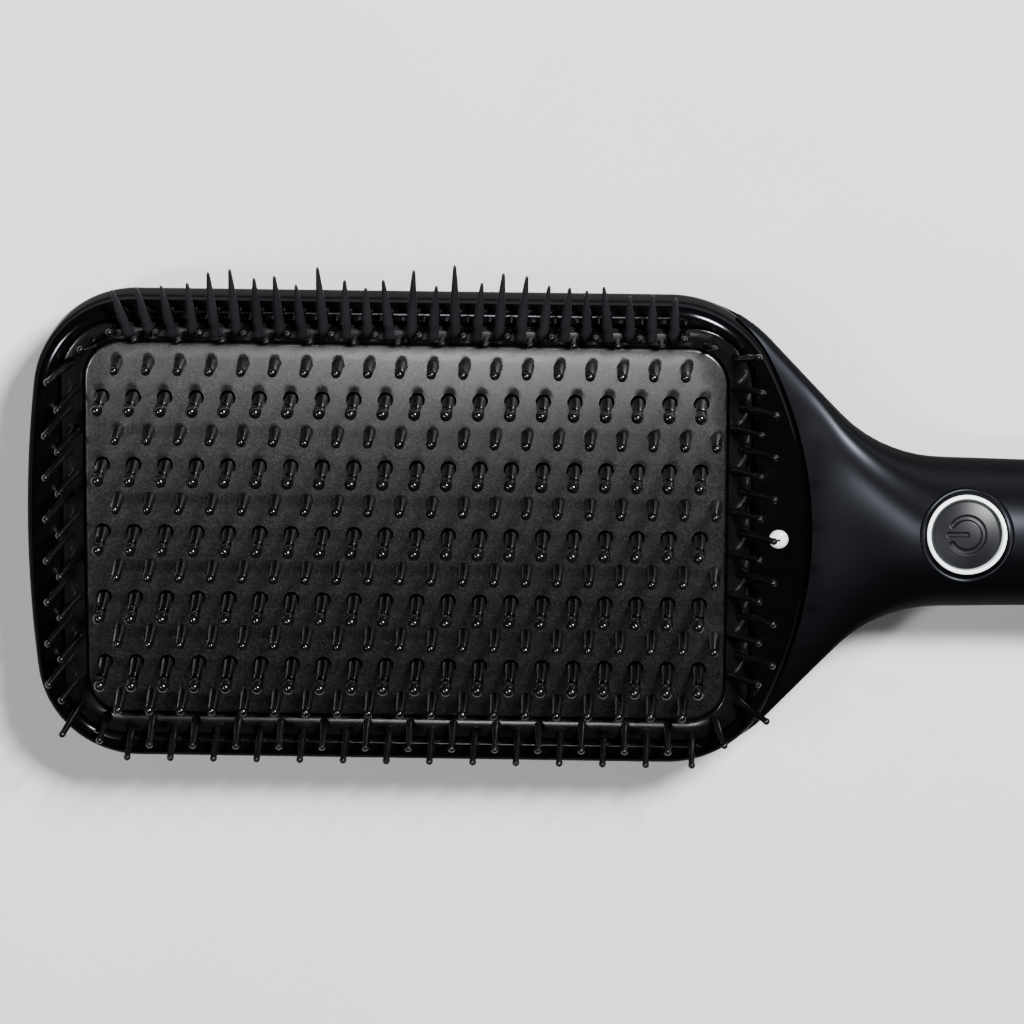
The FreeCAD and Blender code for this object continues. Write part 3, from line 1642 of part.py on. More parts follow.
def make_tail():
    """The end cap, and the swivelling gland with its clip, all round the handle's axis."""
    cap = turned(
        "tail_cap",
        [
            ("swivel_radius + fit_gap", "handle_end + cap_length - cap_wall"),
            ("tail_radius - wall - loose_gap - 1.8", "handle_end + cap_length - cap_wall"),
            ("tail_radius - wall - loose_gap - 1.8", "handle_end - cap_spigot"),
            ("tail_radius - wall - loose_gap", "handle_end - cap_spigot"),
            ("tail_radius - wall - loose_gap", "handle_end"),
            ("tail_radius", "handle_end"),
            ("tail_radius", "handle_end + cap_length * 0.45"),
            ("tail_radius - 1", "handle_end + cap_length * 0.75"),
            ("cap_end_radius + 1.5", "handle_end + cap_length * 0.95"),
            ("cap_end_radius", "handle_end + cap_length"),
            ("swivel_radius + fit_gap", "handle_end + cap_length"),
        ],
    )
    keep("tail_cap", place_on_handle_axis(cap))
    end = "handle_end + cap_length"
    inner = f"{end} - cap_wall"
    swivel = turned(
        "cord_swivel",
        [
            ("cord_radius", f"{inner} - swivel_inside"),
            ("swivel_radius", f"{inner} - swivel_inside"),
            ("swivel_radius", f"{inner} - 0.2 - clip_thick"),
            ("swivel_radius - clip_groove", f"{inner} - 0.2 - clip_thick"),
            ("swivel_radius - clip_groove", f"{inner} - 0.2"),
            ("swivel_radius", f"{inner} - 0.2"),
            ("swivel_radius", f"{end} + 0.2"),
            ("swivel_collar_radius", f"{end} + 0.2"),
            ("swivel_collar_radius", f"{end} + 0.2 + swivel_collar_length * 0.4"),
            ("swivel_end_radius", f"{end} + 0.2 + swivel_collar_length"),
            ("cord_radius", f"{end} + 0.2 + swivel_collar_length"),
        ],
    )
    keep("cord_swivel", place_on_handle_axis(swivel))
    clip = turned(
        "clip",
        [
            ("swivel_radius - clip_groove", f"{inner} - 0.2 - clip_thick"),
            ("clip_radius", f"{inner} - 0.2 - clip_thick"),
            ("clip_radius", f"{inner} - 0.2"),
            ("swivel_radius - clip_groove", f"{inner} - 0.2"),
        ],
    )
    clip = place_on_handle_axis(clip)
    slot = box("slot", f"{inner} - 5", "-2.5", "handle_level", "8", "5", "clip_radius + 2")
    keep("swivel_clip", cut("swivel_clip", clip, slot))


# ---- building and writing ----------------------------------------------------------------------------------


def build():
    make_head_bezel()
    make_face_plate()
    make_post_base()
    make_post_rails()
    make_post_tips()
    make_pin_strips()
    make_rim_bristles()
    make_side_comb()
    make_chamber_gasket()
    make_heater_carrier()
    make_heater_bars()
    make_heater_clamp()
    make_clamp_screws()
    make_heat_shield()
    make_heat_sensors()
    make_water_tank()
    make_filler_plug()
    make_pump()
    make_tubes()
    make_ion_parts()
    outer, inner = shell_parts()
    make_back_shell(outer, inner)
    make_front_shell(outer, inner)
    make_light_ring()
    make_power_button()
    make_switch()
    make_light_board()
    make_control_board()
    make_mains_board()
    make_board_screws()
    make_case_screws()
    make_leads()
    make_tail()
    doc.recompute()


def check():
    """Stops on any object that failed and any piece whose shape is missing or not valid."""
    for thing in doc.Objects:
        if "Invalid" in thing.State or "Error" in thing.State:
            raise ValueError(f"{thing.Label} failed: {thing.State}")
    for name, thing in parts.items():
        shape = thing.Shape
        if shape.isNull() or not shape.isValid() or not shape.Solids:
            raise ValueError(f"{name} has no valid solid")


def write():
    os.makedirs("parts", exist_ok=True)
    for name, thing in parts.items():
        thing.Shape.exportStep(f"parts/{name}.step")
        print(f"{name:20} solids {len(thing.Shape.Solids):4}  volume {thing.Shape.Volume:10.1f}")


build()
check()
write()
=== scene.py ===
"""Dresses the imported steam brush: finer surfaces, finishes, studio and camera. Sizes are in millimetres."""

import math

import bmesh
import bpy
import numpy as np
from mathutils import Matrix, Vector, geometry


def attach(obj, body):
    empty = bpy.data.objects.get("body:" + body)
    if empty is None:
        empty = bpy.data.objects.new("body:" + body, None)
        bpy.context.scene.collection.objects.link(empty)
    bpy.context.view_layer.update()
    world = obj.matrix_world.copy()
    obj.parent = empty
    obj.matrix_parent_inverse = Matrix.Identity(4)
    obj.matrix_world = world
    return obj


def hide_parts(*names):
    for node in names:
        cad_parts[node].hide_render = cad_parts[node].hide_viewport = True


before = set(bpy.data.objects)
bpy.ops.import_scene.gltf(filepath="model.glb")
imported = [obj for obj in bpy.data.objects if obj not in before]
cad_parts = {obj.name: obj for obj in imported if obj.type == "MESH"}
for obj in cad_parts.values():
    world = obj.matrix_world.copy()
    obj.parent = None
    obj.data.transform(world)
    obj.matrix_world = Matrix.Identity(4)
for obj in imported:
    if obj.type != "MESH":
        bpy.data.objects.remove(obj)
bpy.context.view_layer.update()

MM = 0.001

# ---- sizes shared with the construction --------------------------------------------------------------------

# the head seen from the front: bowed ends with rounded corners
HEAD_LENGTH = 153.4
HEAD_WIDTH = 94.6
TIP_BOW = 262.0
TIP_CORNER = 20.0
NECK_BOW = 77.4
NECK_CORNER = 21.7

# levels over the flat back, wall, and the rounding of back and bezel
PART_LEVEL = 12.5
WIDEST_LEVEL = 17.0
FLANGE_LEVEL = 20.2
BEZEL_LEVEL = 23.0
WALL = 2.0
BACK_INSET = 16.0
BACK_POWER = 2.0
BEZEL_ROUND = 3.0

# the crowned face plate; CROWN is the radius it is bent to
PLATE_CENTRE = -2.5
PLATE_LENGTH = 125.0
PLATE_WIDTH = 76.0
PLATE_CORNER = 7.2
PLATE_THICK = 1.6
PLATE_LEVEL = 23.5
CROWN = 400.0
CHAMBER_GAP = 2.6

# the field of posts and pins; STAGGER is the share of a column by which the rows are shifted
ROW_GAP = 13.6
COLUMN_GAP = 6.14
POST_ROWS = 5
POST_COLUMNS = 20
FIELD_CENTRE = -1.75
STAGGER = 0.25
STRIP_END = 1.3

# heights over the plate and radii of posts, vents and pins; SHOULDER is where a post's tip starts
POST_HEIGHT = 13.8
TIP_LENGTH = 3.2
SHOULDER = POST_HEIGHT - TIP_LENGTH
POST_FOOT = 1.25
POST_TOP = 1.0
VENT_RADIUS = 1.55
PIN_HEIGHT = 9.1
PIN_FOOT = 1.2
PIN_TOP = 0.95

# the bezel's opening, the rim of bristles in it, and the comb's distance from the plate
OPENING_CENTRE = -2.4
OPENING_LENGTH = 135.0
OPENING_WIDTH = 85.0
OPENING_CORNER = 12.0
RIM_LEVEL = 22.0
RIM_FOOT = 20.0
RIM_COUNT = 92
COMB_OFFSET = 2.45

# neck and handle: places are along X, and RISE is where the neck rises to the handle's level
NECK_START = 48.1
NECK_END = 102.5
NECK_ROUND = 27.6
NECK_LEVEL = 20.5
RISE_START = 74.0
RISE_END = 107.0
HANDLE_LEVEL = 16.2
HANDLE_RADIUS = 14.6
WAIST_RADIUS = 14.3
WAIST_PLACE = 118.0
TAIL_RADIUS = 15.6
SWELL_END = 192.0
HANDLE_END = 205.0

# the button, turned round the handle towards the comb's side, and the ion outlet
BUTTON_PLACE = 106.9
BUTTON_TURN = math.radians(14.5)
BUTTON_RADIUS = 6.7
WELL_RADIUS = 9.15
ION_PLACE = 70.4
ION_RADIUS = 1.9
ION_BORE = 0.35
ION_STAND = 1.0

# points along a side and round a corner of an outline
SIDE_COUNT = 60
CORNER_COUNT = 28

# ---- studio and camera -------------------------------------------------------------------------------------


def look_camera():
    """The photo's view: from a little past the top edge, far off and through a long lens."""
    tilt = math.radians(17.6)
    yaw = math.radians(1.78)
    roll = math.radians(0.25)
    away = 1400.0 * MM
    target = Vector((18.36, 5.0, 23.5)) * MM
    back = Vector((math.sin(yaw) * math.cos(tilt), math.sin(tilt), math.cos(tilt) * math.cos(yaw)))
    right = Vector((0, 1, 0)).cross(back).normalized()
    up = back.cross(right)
    right, up = right * math.cos(roll) + up * math.sin(roll), up * math.cos(roll) - right * math.sin(roll)
    data = bpy.data.cameras.new("camera")
    data.sensor_width = 36.0
    data.lens = 252.4
    data.clip_end = 20.0
    camera = bpy.data.objects.new("camera", data)
    turn = Matrix((right, up, back)).transposed().to_4x4()
    camera.matrix_world = Matrix.Translation(target + back * away) @ turn
    bpy.context.scene.collection.objects.link(camera)
    bpy.context.scene.camera = camera


def soft_light(name, place, aim, size_x, size_y, power):
    """A rectangular light: its place, aim and size are in metres, its power in watts."""
    data = bpy.data.lights.new(name, "AREA")
    data.shape = "RECTANGLE"
    data.size = size_x
    data.size_y = size_y
    data.energy = power
    light = bpy.data.objects.new(name, data)
    light.location = place
    way = (Vector(aim) - Vector(place)).normalized()
    light.rotation_euler = way.to_track_quat("-Z", "Y").to_euler()
    bpy.context.scene.collection.objects.link(light)


def studio():
    """A dark room over a pale floor.

    The key light stands past the top right, with a small light overhead and one on the left.
    """
    world = bpy.data.worlds.new("studio")
    world.use_nodes = True
    background = world.node_tree.nodes["Background"]
    background.inputs["Color"].default_value = (0.9, 0.93, 1.0, 1)
    background.inputs["Strength"].default_value = 0.03
    bpy.context.scene.world = world
    soft_light("key", (0.55, 0.8, 1.2), (0.015, 0, 0.02), 0.3, 0.2, 70)
    soft_light("overhead", (-0.02, -0.03, 1.12), (0.01, 0, 0.02), 0.1, 0.05, 1.2)
    soft_light("left_box", (-0.7, 0.04, 1.05), (0, 0, 0.02), 0.16, 0.16, 9)


# ---- materials ---------------------------------------------------------------------------------------------


class Finish:
    """A node material with one Principled shader, built up call by call, with sizes in millimetres."""

    # the middle part of a noise, over which the colour and the roughness change
    COLOUR_SPAN = (0.3, 0.7)
    ROUGH_SPAN = (0.25, 0.75)

    def __init__(self, name):
        self.material = bpy.data.materials.new(name)
        self.material.use_nodes = True
        self.nodes = self.material.node_tree.nodes
        self.links = self.material.node_tree.links
        self.shader = self.nodes["Principled BSDF"]
        self.place = self.nodes.new("ShaderNodeTexCoord").outputs["Object"]

    def put(self, **values):
        """Sets the shader's own inputs, such as coat_weight for Coat Weight."""
        for name, value in values.items():
            self.shader.inputs[name.replace("_", " ").title().replace("Ior", "IOR")].default_value = value

    def noise(self, size, detail=3.0, rough=0.55):
        """Soft noise with patches of about this size."""
        node = self.nodes.new("ShaderNodeTexNoise")
        node.inputs["Scale"].default_value = 1 / MM / size
        node.inputs["Detail"].default_value = detail
        node.inputs["Roughness"].default_value = rough
        self.links.new(self.place, node.inputs["Vector"])
        return node.outputs["Fac"]

    def cells(self, size):
        """Cells of about this size, as the distance from the nearest one's middle."""
        node = self.nodes.new("ShaderNodeTexVoronoi")
        node.inputs["Scale"].default_value = 1 / MM / size
        self.links.new(self.place, node.inputs["Vector"])
        return node.outputs["Distance"]

    def ramp(self, source, stops):
        """The colour that follows the source through stops, pairs of a value and a colour."""
        node = self.nodes.new("ShaderNodeValToRGB")
        ramp = node.color_ramp
        while len(ramp.elements) < len(stops):
            ramp.elements.new(0.5)
        for element, (place, colour) in zip(ramp.elements, stops):
            element.position = place
            element.color = (*colour, 1)
        self.links.new(source, node.inputs["Fac"])
        return node.outputs["Color"]

    def colour(self, source, low, high):
        start, end = self.COLOUR_SPAN
        self.links.new(self.ramp(source, [(start, low), (end, high)]), self.shader.inputs["Base Color"])

    def rough(self, source, low, high):
        node = self.nodes.new("ShaderNodeMapRange")
        start, end = self.ROUGH_SPAN
        node.inputs["From Min"].default_value = start
        node.inputs["From Max"].default_value = end
        node.inputs["To Min"].default_value = low
        node.inputs["To Max"].default_value = high
        self.links.new(source, node.inputs["Value"])
        self.links.new(node.outputs["Result"], self.shader.inputs["Roughness"])

    def bump(self, source, strength, depth):
        node = self.nodes.new("ShaderNodeBump")
        node.inputs["Strength"].default_value = strength
        node.inputs["Distance"].default_value = depth * MM
        self.links.new(source, node.inputs["Height"])
        self.links.new(node.outputs["Normal"], self.shader.inputs["Normal"])


def plastic(name, low, high, rough, grain, depth, specular=0.5):
    """Moulded plastic: a little uneven in colour and gloss, with a fine grain."""
    finish = Finish(name)
    finish.put(specular_ior_level=specular)
    broad = finish.noise(14.0)
    finish.colour(broad, low, high)
    finish.rough(broad, rough * 0.95, rough * 1.05)
    finish.bump(finish.noise(grain, detail=2.0), 0.35, depth)
    return finish.material


def black_plastic(name, low, high, rough, grain, depth):
    """Black plastic whose sheen is strongest face on, so that the pale floor doesn't whiten its edges."""
    material = plastic(name, low, high, rough, grain, depth)
    shader = material.node_tree.nodes["Principled BSDF"]
    shader.inputs["Metallic"].default_value = 0.92
    shader.inputs["Specular Tint"].default_value = (0.02, 0.02, 0.02, 1)
    return material


def metal(name, low, high, rough, grain=0.4, depth=0.01):
    """Bare metal, uneven in gloss, with a fine grain."""
    finish = Finish(name)
    finish.put(metallic=1.0)
    broad = finish.noise(5.0)
    finish.colour(broad, low, high)
    finish.rough(broad, rough * 0.8, rough * 1.25)
    finish.bump(finish.noise(grain), 0.4, depth)
    return finish.material


def plate_finish():
    """Grey ceramic coating with fine bright flecks."""
    finish = Finish("plate_coating")
    finish.put(metallic=0.85, specular_ior_level=0.5, coat_weight=1.0, coat_roughness=0.22)
    flecks = finish.cells(0.42)
    broad = finish.noise(0.9, detail=4.0, rough=0.7)
    grey = finish.ramp(broad, [(0.3, (0.009, 0.0093, 0.0102)), (0.7, (0.026, 0.0268, 0.0288))])
    bright = finish.ramp(flecks, [(0.0, (0.08, 0.082, 0.085)), (0.42, (0.0, 0.0, 0.0))])
    mix = finish.nodes.new("ShaderNodeMix")
    mix.data_type = "RGBA"
    mix.blend_type = "ADD"
    mix.inputs["Factor"].default_value = 0.6
    finish.links.new(grey, mix.inputs["A"])
    finish.links.new(bright, mix.inputs["B"])
    finish.links.new(mix.outputs["Result"], finish.shader.inputs["Base Color"])
    finish.rough(broad, 0.32, 0.42)
    finish.bump(finish.noise(0.35), 0.4, 0.02)
    return finish.material


def lit_finish():
    """White plastic that glows by itself."""
    finish = Finish("lit_ring")
    finish.put(roughness=0.3, emission_color=(0.93, 0.95, 1.0, 1), emission_strength=0.75)
    finish.colour(finish.noise(3.0), (0.85, 0.88, 0.92), (0.95, 0.97, 1.0))
    return finish.material


def clear_finish(name, tint, rough):
    """Tinted plastic or glass that lets light through."""
    finish = Finish(name)
    finish.put(transmission_weight=0.75, ior=1.45)
    broad = finish.noise(6.0)
    finish.colour(broad, tuple(0.9 * c for c in tint), tint)
    finish.rough(broad, rough, rough * 1.6)
    return finish.material


def floor_finish():
    """Plain mid-tone paper, which shows pale under the key light."""
    finish = Finish("floor_paper")
    finish.put(roughness=0.9, specular_ior_level=0.1)
    finish.colour(finish.noise(60.0), (0.68, 0.68, 0.68), (0.7, 0.7, 0.7))
    finish.bump(finish.noise(1.2), 0.2, 0.02)
    return finish.material


# each finish has its darker and lighter colour and its roughness, and most have grain size and depth
GLOSS = black_plastic("gloss_black", (0.012, 0.012, 0.014), (0.016, 0.016, 0.018), 0.12, 8.0, 0.004)
SATIN = black_plastic("satin_black", (0.0125, 0.0132, 0.0157), (0.0135, 0.0142, 0.017), 0.36, 0.22, 0.012)
INK = ((0.002, 0.002, 0.0023), (0.003, 0.003, 0.0036))
BRISTLE = plastic("bristle_black", *INK, 0.16, 1.2, 0.01, specular=0.4)
RIM = plastic("rim_black", *INK, 0.18, 1.5, 0.015, specular=0.25)
SOOT = ((0.008, 0.008, 0.0095), (0.013, 0.013, 0.015))
COMB_FINISH = plastic("comb_black", *SOOT, 0.45, 0.8, 0.01, specular=0.2)
SLATE = ((0.004, 0.0043, 0.006), (0.006, 0.0065, 0.009))
BUTTON = plastic("button_grey", *SLATE, 0.36, 0.25, 0.01, specular=0.2)
POST = metal("post_metal", (0.03, 0.031, 0.035), (0.055, 0.057, 0.062), 0.17)
PLATE = plate_finish()
LIT = lit_finish()
WHITE = plastic("white_plastic", (0.7, 0.7, 0.69), (0.8, 0.8, 0.79), 0.25, 1.0, 0.005)
GLAND = plastic("gland_rubber", (0.004, 0.004, 0.0045), (0.006, 0.006, 0.0066), 0.6, 0.3, 0.02, specular=0.3)
SEAL = plastic("seal_silicone", (0.03, 0.03, 0.033), (0.05, 0.05, 0.054), 0.5, 0.5, 0.01)
STEEL = metal("screw_steel", (0.42, 0.42, 0.43), (0.6, 0.6, 0.61), 0.3)
CAST = metal("cast_metal", (0.3, 0.3, 0.31), (0.42, 0.42, 0.43), 0.42, 0.8, 0.05)
BROWN = plastic("heatproof", (0.05, 0.045, 0.04), (0.08, 0.072, 0.064), 0.5, 0.4, 0.02)
MICA = plastic("insulator", (0.55, 0.48, 0.34), (0.7, 0.63, 0.48), 0.4, 1.5, 0.03)
BOARD = plastic("board_green", (0.01, 0.09, 0.04), (0.02, 0.13, 0.06), 0.3, 0.6, 0.01)
DARK = plastic("component_dark", (0.03, 0.03, 0.035), (0.06, 0.06, 0.065), 0.4, 0.5, 0.01)
GREY = plastic("pump_grey", (0.2, 0.21, 0.22), (0.28, 0.29, 0.3), 0.45, 0.5, 0.01)
LEAD = plastic("lead_white", (0.6, 0.58, 0.52), (0.72, 0.7, 0.64), 0.5, 0.4, 0.01)
CLEAR = clear_finish("tank_clear", (0.55, 0.62, 0.68), 0.08)
MILKY = clear_finish("tube_clear", (0.8, 0.82, 0.82), 0.3)
GLASS = clear_finish("bead_glass", (0.85, 0.5, 0.3), 0.05)

CAD_FINISH = {
    "face_plate": PLATE, "post_base": CAST, "post_rails": POST, "post_tips": BRISTLE, "pin_strips": BRISTLE,
    "rim_bristles": RIM, "side_comb": BRISTLE, "chamber_gasket": SEAL, "heater_carrier": BROWN,
    "heater_bars": STEEL, "heater_clamp": STEEL, "clamp_screws": STEEL, "heat_shield": MICA,
    "thermal_fuse": STEEL, "thermistor": GLASS, "water_tank": CLEAR, "filler_plug": SEAL, "pump": GREY,
    "suction_tube": MILKY, "feed_tube": MILKY, "ioniser_module": BROWN, "emitter_needle": STEEL,
    "ion_outlet": WHITE, "back_shell": SATIN, "handle_front_shell": SATIN, "light_ring": LIT,
    "power_button": BUTTON, "tact_switch": DARK, "switch_plunger": WHITE, "led_board": BOARD,
    "control_board": BOARD, "mains_board": BOARD, "mains_parts": DARK, "board_screws": STEEL,
    "head_screws": STEEL, "handle_screws": STEEL, "screw_caps": SEAL, "heater_leads": LEAD,
    "mains_leads": LEAD, "tail_cap": SATIN, "cord_swivel": GLAND, "swivel_clip": STEEL, "head_bezel": GLOSS,
}


def finish_nodes():
    """Gives each node of the construction its finish, also where a piece stands for it."""
    for name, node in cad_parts.items():
        node.data.materials.clear()
        node.data.materials.append(CAD_FINISH[name])


# ---- mesh helpers ------------------------------------------------------------------------------------------


def mesh_object(name, points, faces):
    """A new object from points in millimetres."""
    mesh = bpy.data.meshes.new(name)
    mesh.from_pydata((np.asarray(points, float) * MM).tolist(), [], faces)
    obj = bpy.data.objects.new(name, mesh)
    bpy.context.scene.collection.objects.link(obj)
    return obj


def dress(obj, material, body, nodes, sharp):
    """Finishes an object that rides on a body and stands for CAD nodes; sharp is in degrees."""
    mesh = obj.data
    mesh.materials.clear()
    mesh.materials.append(material)
    mesh.shade_smooth()
    mesh.set_sharp_from_angle(angle=math.radians(sharp))
    mesh.update()
    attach(obj, body)
    if nodes:
        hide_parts(*nodes)


def piece(name, form, material, body, nodes=(), sharp=50.0):
    """One piece of the brush, from a form: its points in millimetres and its faces."""
    dress(mesh_object(name, *form), material, body, nodes, sharp)


def quarter(steps):
    """The angles from zero to a right angle in even steps."""
    return [math.pi / 2 * k / steps for k in range(steps + 1)]


def full_turn(count):
    """The angles of so many even steps round a circle."""
    return [2 * math.pi * k / count for k in range(count)]


def level_ring(radius, height, count):
    """Points of a level circle round Z."""
    return [(radius * math.cos(angle), radius * math.sin(angle), height) for angle in full_turn(count)]


def at_level(loop, level):
    """A loop of X and Y pairs, put at one height."""
    return np.column_stack([loop, np.full(len(loop), level)])


def strips(rows, columns, first=0, along=False):
    """Quads between rows of points, each row closed; along closes the last row to the first."""
    faces = []
    for i in range(rows if along else rows - 1):
        low = first + i * columns
        high = first + ((i + 1) % rows) * columns
        for j in range(columns):
            k = (j + 1) % columns
            faces.append((low + j, low + k, high + k, high + j))
    return faces


def between(low, high):
    """The closed form between two loops of as many points."""
    count = len(low)
    faces = strips(2, count) + [tuple(reversed(range(count))), tuple(range(count, 2 * count))]
    return low + high, faces


def prism(loop, low, high):
    """A closed upright form over a loop of level points."""
    return between([(x, y, low) for x, y in loop], [(x, y, high) for x, y in loop])


def slab(profile, reach):
    """A polygon of X and Z pairs pushed out both ways along Y."""
    return between([(x, -reach, z) for x, z in profile], [(x, reach, z) for x, z in profile])


def bar(corner, far_corner, levels):
    """A closed bar between two corners, from pairs of a level and how far it is trimmed all round there."""
    points = []
    for z, trim in levels:
        x0, y0 = corner[0] + trim, corner[1] + trim
        x1, y1 = far_corner[0] - trim, far_corner[1] - trim
        points += [(x0, y0, z), (x1, y0, z), (x1, y1, z), (x0, y1, z)]
    last = len(points) - 4
    return np.array(points, float), [(3, 2, 1, 0), tuple(range(last, last + 4))] + strips(len(levels), 4)


def lathe(profile, count):
    """A closed form turned round Z from pairs of radius and height; a radius of 0 is a pole."""
    points = []
    rings = []
    for radius, height in profile:
        ring = level_ring(radius, height, count) if radius else [(0, 0, height)]
        rings.append((len(points), len(ring)))
        points += ring
    faces = []
    for (a, size_a), (b, size_b) in zip(rings, rings[1:]):
        for k in range(count):
            n = (k + 1) % count
            if size_a == 1:
                faces.append((a, b + n, b + k))
            elif size_b == 1:
                faces.append((a + k, a + n, b))
            else:
                faces.append((a + k, a + n, b + n, b + k))
    return np.array(points, float), faces


def ball_end(radius, top, steps=5):
    """Profile points of a round end that reaches the height named top, with its pole."""
    places = [(radius * math.cos(angle), top - radius + radius * math.sin(angle)) for angle in quarter(steps)]
    return places[:-1] + [(0, top)]


def copies(template, frames):
    """The template repeated at each frame, a pair of a turning matrix and a place."""
    points, faces = template
    all_points = []
    all_faces = []
    for turn, place in frames:
        first = len(all_points) * len(points)
        all_points.append(points @ np.asarray(turn).T + np.asarray(place))
        all_faces.extend(tuple(first + i for i in face) for face in faces)
    return np.concatenate(all_points), all_faces


def merged(*forms):
    """Several forms as one list of points and one of faces."""
    points = []
    faces = []
    count = 0
    for form_points, form_faces in forms:
        points.append(np.asarray(form_points, float))
        faces.extend(tuple(count + i for i in face) for face in form_faces)
        count += len(form_points)
    return np.concatenate(points), faces


def leaning_frame(out, angle, place, sideways=0.0, aside=0.0):
    """The turning matrix and place of something that leans by an angle towards out, a level direction.

    It also leans along X by sideways and along Y by aside.
    """
    way = np.array([out[0] * math.sin(angle), out[1] * math.sin(angle), math.cos(angle)])
    way = way + np.array([math.sin(sideways), math.sin(aside), 0])
    way /= np.linalg.norm(way)
    across = [0.3, 0.2, 0.9] if abs(way[2]) < 0.9 else [1.0, 0, 0]
    side = np.cross(way, across)
    side /= np.linalg.norm(side)
    return np.column_stack([side, np.cross(way, side), way]), place


# ---- forms shared with the construction --------------------------------------------------------------------


def blend(value, low, high):
    """A smooth rise from 0 to 1 while value goes from low to high."""
    share = min(max((value - low) / (high - low), 0.0), 1.0)
    return share * share * (3 - 2 * share)


class Outline:
    """Points round an outline with their outward directions; each section's X is taken from middle."""

    def __init__(self, middle=0.0):
        self.middle = middle
        self.points = []
        self.outs = []

    def arc(self, x, y, radius, begin, sweep, count):
        for k in range(count):
            angle = begin + sweep * k / count
            self.points.append((self.middle + x + radius * math.cos(angle), y + radius * math.sin(angle)))
            self.outs.append((math.cos(angle), math.sin(angle)))

    def line(self, x0, y0, x1, y1, out, count):
        for k in range(count):
            share = k / count
            self.points.append((self.middle + x0 + (x1 - x0) * share, y0 + (y1 - y0) * share))
            self.outs.append(out)

    def arrays(self):
        return np.array(self.points), np.array(self.outs)


def head_loop():
    """Points round the head's outline with their outward directions."""
    half = HEAD_WIDTH / 2
    right = math.pi / 2
    ends = {}
    for sign, bow, corner in ((1, NECK_BOW, NECK_CORNER), (-1, TIP_BOW, TIP_CORNER)):
        centre = sign * (HEAD_LENGTH / 2 - bow)
        reach = math.sqrt((bow - corner) ** 2 - (half - corner) ** 2)
        ends[sign] = (centre, centre + sign * reach, half - corner, math.atan2(half - corner, reach))
    neck, neck_x, neck_y, neck_turn = ends[1]
    tip, tip_x, tip_y, tip_turn = ends[-1]
    loop = Outline()
    loop.arc(neck, 0, NECK_BOW, -neck_turn, 2 * neck_turn, SIDE_COUNT)
    loop.arc(neck_x, neck_y, NECK_CORNER, neck_turn, right - neck_turn, CORNER_COUNT)
    loop.line(neck_x, half, tip_x, half, (0, 1), SIDE_COUNT)
    loop.arc(tip_x, tip_y, TIP_CORNER, right, right - tip_turn, CORNER_COUNT)
    loop.arc(tip, 0, TIP_BOW, 2 * right - tip_turn, 2 * tip_turn, SIDE_COUNT)
    loop.arc(tip_x, -tip_y, TIP_CORNER, 2 * right + tip_turn, right - tip_turn, CORNER_COUNT)
    loop.line(tip_x, -half, neck_x, -half, (0, -1), SIDE_COUNT)
    loop.arc(neck_x, -neck_y, NECK_CORNER, -right, right - neck_turn, CORNER_COUNT)
    return loop.arrays()


def rounded_loop(middle, length, width, corner, side_count=SIDE_COUNT, corner_count=CORNER_COUNT):
    """Points round a rounded rectangle, section by section in the same order as the head's outline."""
    a = length / 2 - corner
    b = width / 2 - corner
    right = math.pi / 2
    loop = Outline(middle)
    loop.line(a + corner, -b, a + corner, b, (1, 0), side_count)
    loop.arc(a, b, corner, 0, right, corner_count)
    loop.line(a, b + corner, -a, b + corner, (0, 1), side_count)
    loop.arc(-a, b, corner, right, right, corner_count)
    loop.line(-a - corner, b, -a - corner, -b, (-1, 0), side_count)
    loop.arc(-a, -b, corner, 2 * right, right, corner_count)
    loop.line(-a, -b - corner, a, -b - corner, (0, -1), side_count)
    loop.arc(a, -b, corner, 3 * right, right, corner_count)
    return loop.arrays()


def back_depth():
    """Half the height of the back's rounded section, which draws in by BACK_INSET at the flat back."""
    share = 1 - (1 - BACK_INSET / (HEAD_WIDTH / 2)) ** BACK_POWER
    return WIDEST_LEVEL / share ** (1 / BACK_POWER)


def back_inset_at(level):
    """How far the head's outline has drawn in at a level under the widest one."""
    drop = max(WIDEST_LEVEL - level, 0.0) / back_depth()
    return HEAD_WIDTH / 2 * (1 - (1 - drop**BACK_POWER) ** (1 / BACK_POWER))


def neck_half_width(x):
    """Half the width seen from the front: two equal arcs joined by their common tangent, then the handle."""
    high = HEAD_WIDTH / 2
    low = HANDLE_RADIUS
    run = NECK_END - NECK_START
    drop = (low + NECK_ROUND) - (high - NECK_ROUND)
    angle = math.asin(2 * NECK_ROUND / math.hypot(run, drop)) - math.atan2(drop, run)
    bend = NECK_ROUND * math.sin(angle)
    if x <= NECK_START:
        return high
    if x <= NECK_START + bend:
        return high - NECK_ROUND + math.sqrt(NECK_ROUND**2 - (x - NECK_START) ** 2)
    if x < NECK_END - bend:
        return high - NECK_ROUND * (1 - math.cos(angle)) - (x - NECK_START - bend) * math.tan(angle)
    if x < NECK_END:
        return low + NECK_ROUND - math.sqrt(NECK_ROUND**2 - (NECK_END - x) ** 2)
    waist = (WAIST_RADIUS - low) * blend(x, NECK_END, WAIST_PLACE)
    return low + waist + (TAIL_RADIUS - WAIST_RADIUS) * blend(x, WAIST_PLACE, SWELL_END)


def neck_shape(x):
    """Half width, middle level, height above and below it, and the powers of the section at x."""
    rise = blend(x, RISE_START, RISE_END)
    side = neck_half_width(x)
    middle = WIDEST_LEVEL + (HANDLE_LEVEL - WIDEST_LEVEL) * rise
    handle = side if x > NECK_END else HANDLE_RADIUS
    above = NECK_LEVEL - middle + (handle - (NECK_LEVEL - middle)) * rise
    round_off = blend(x, NECK_START, RISE_END)
    below = back_depth() + (handle - back_depth()) * round_off
    power_below = BACK_POWER + (2 - BACK_POWER) * round_off
    power_above = 3.0 - rise
    return side, middle, above, below, power_above, power_below


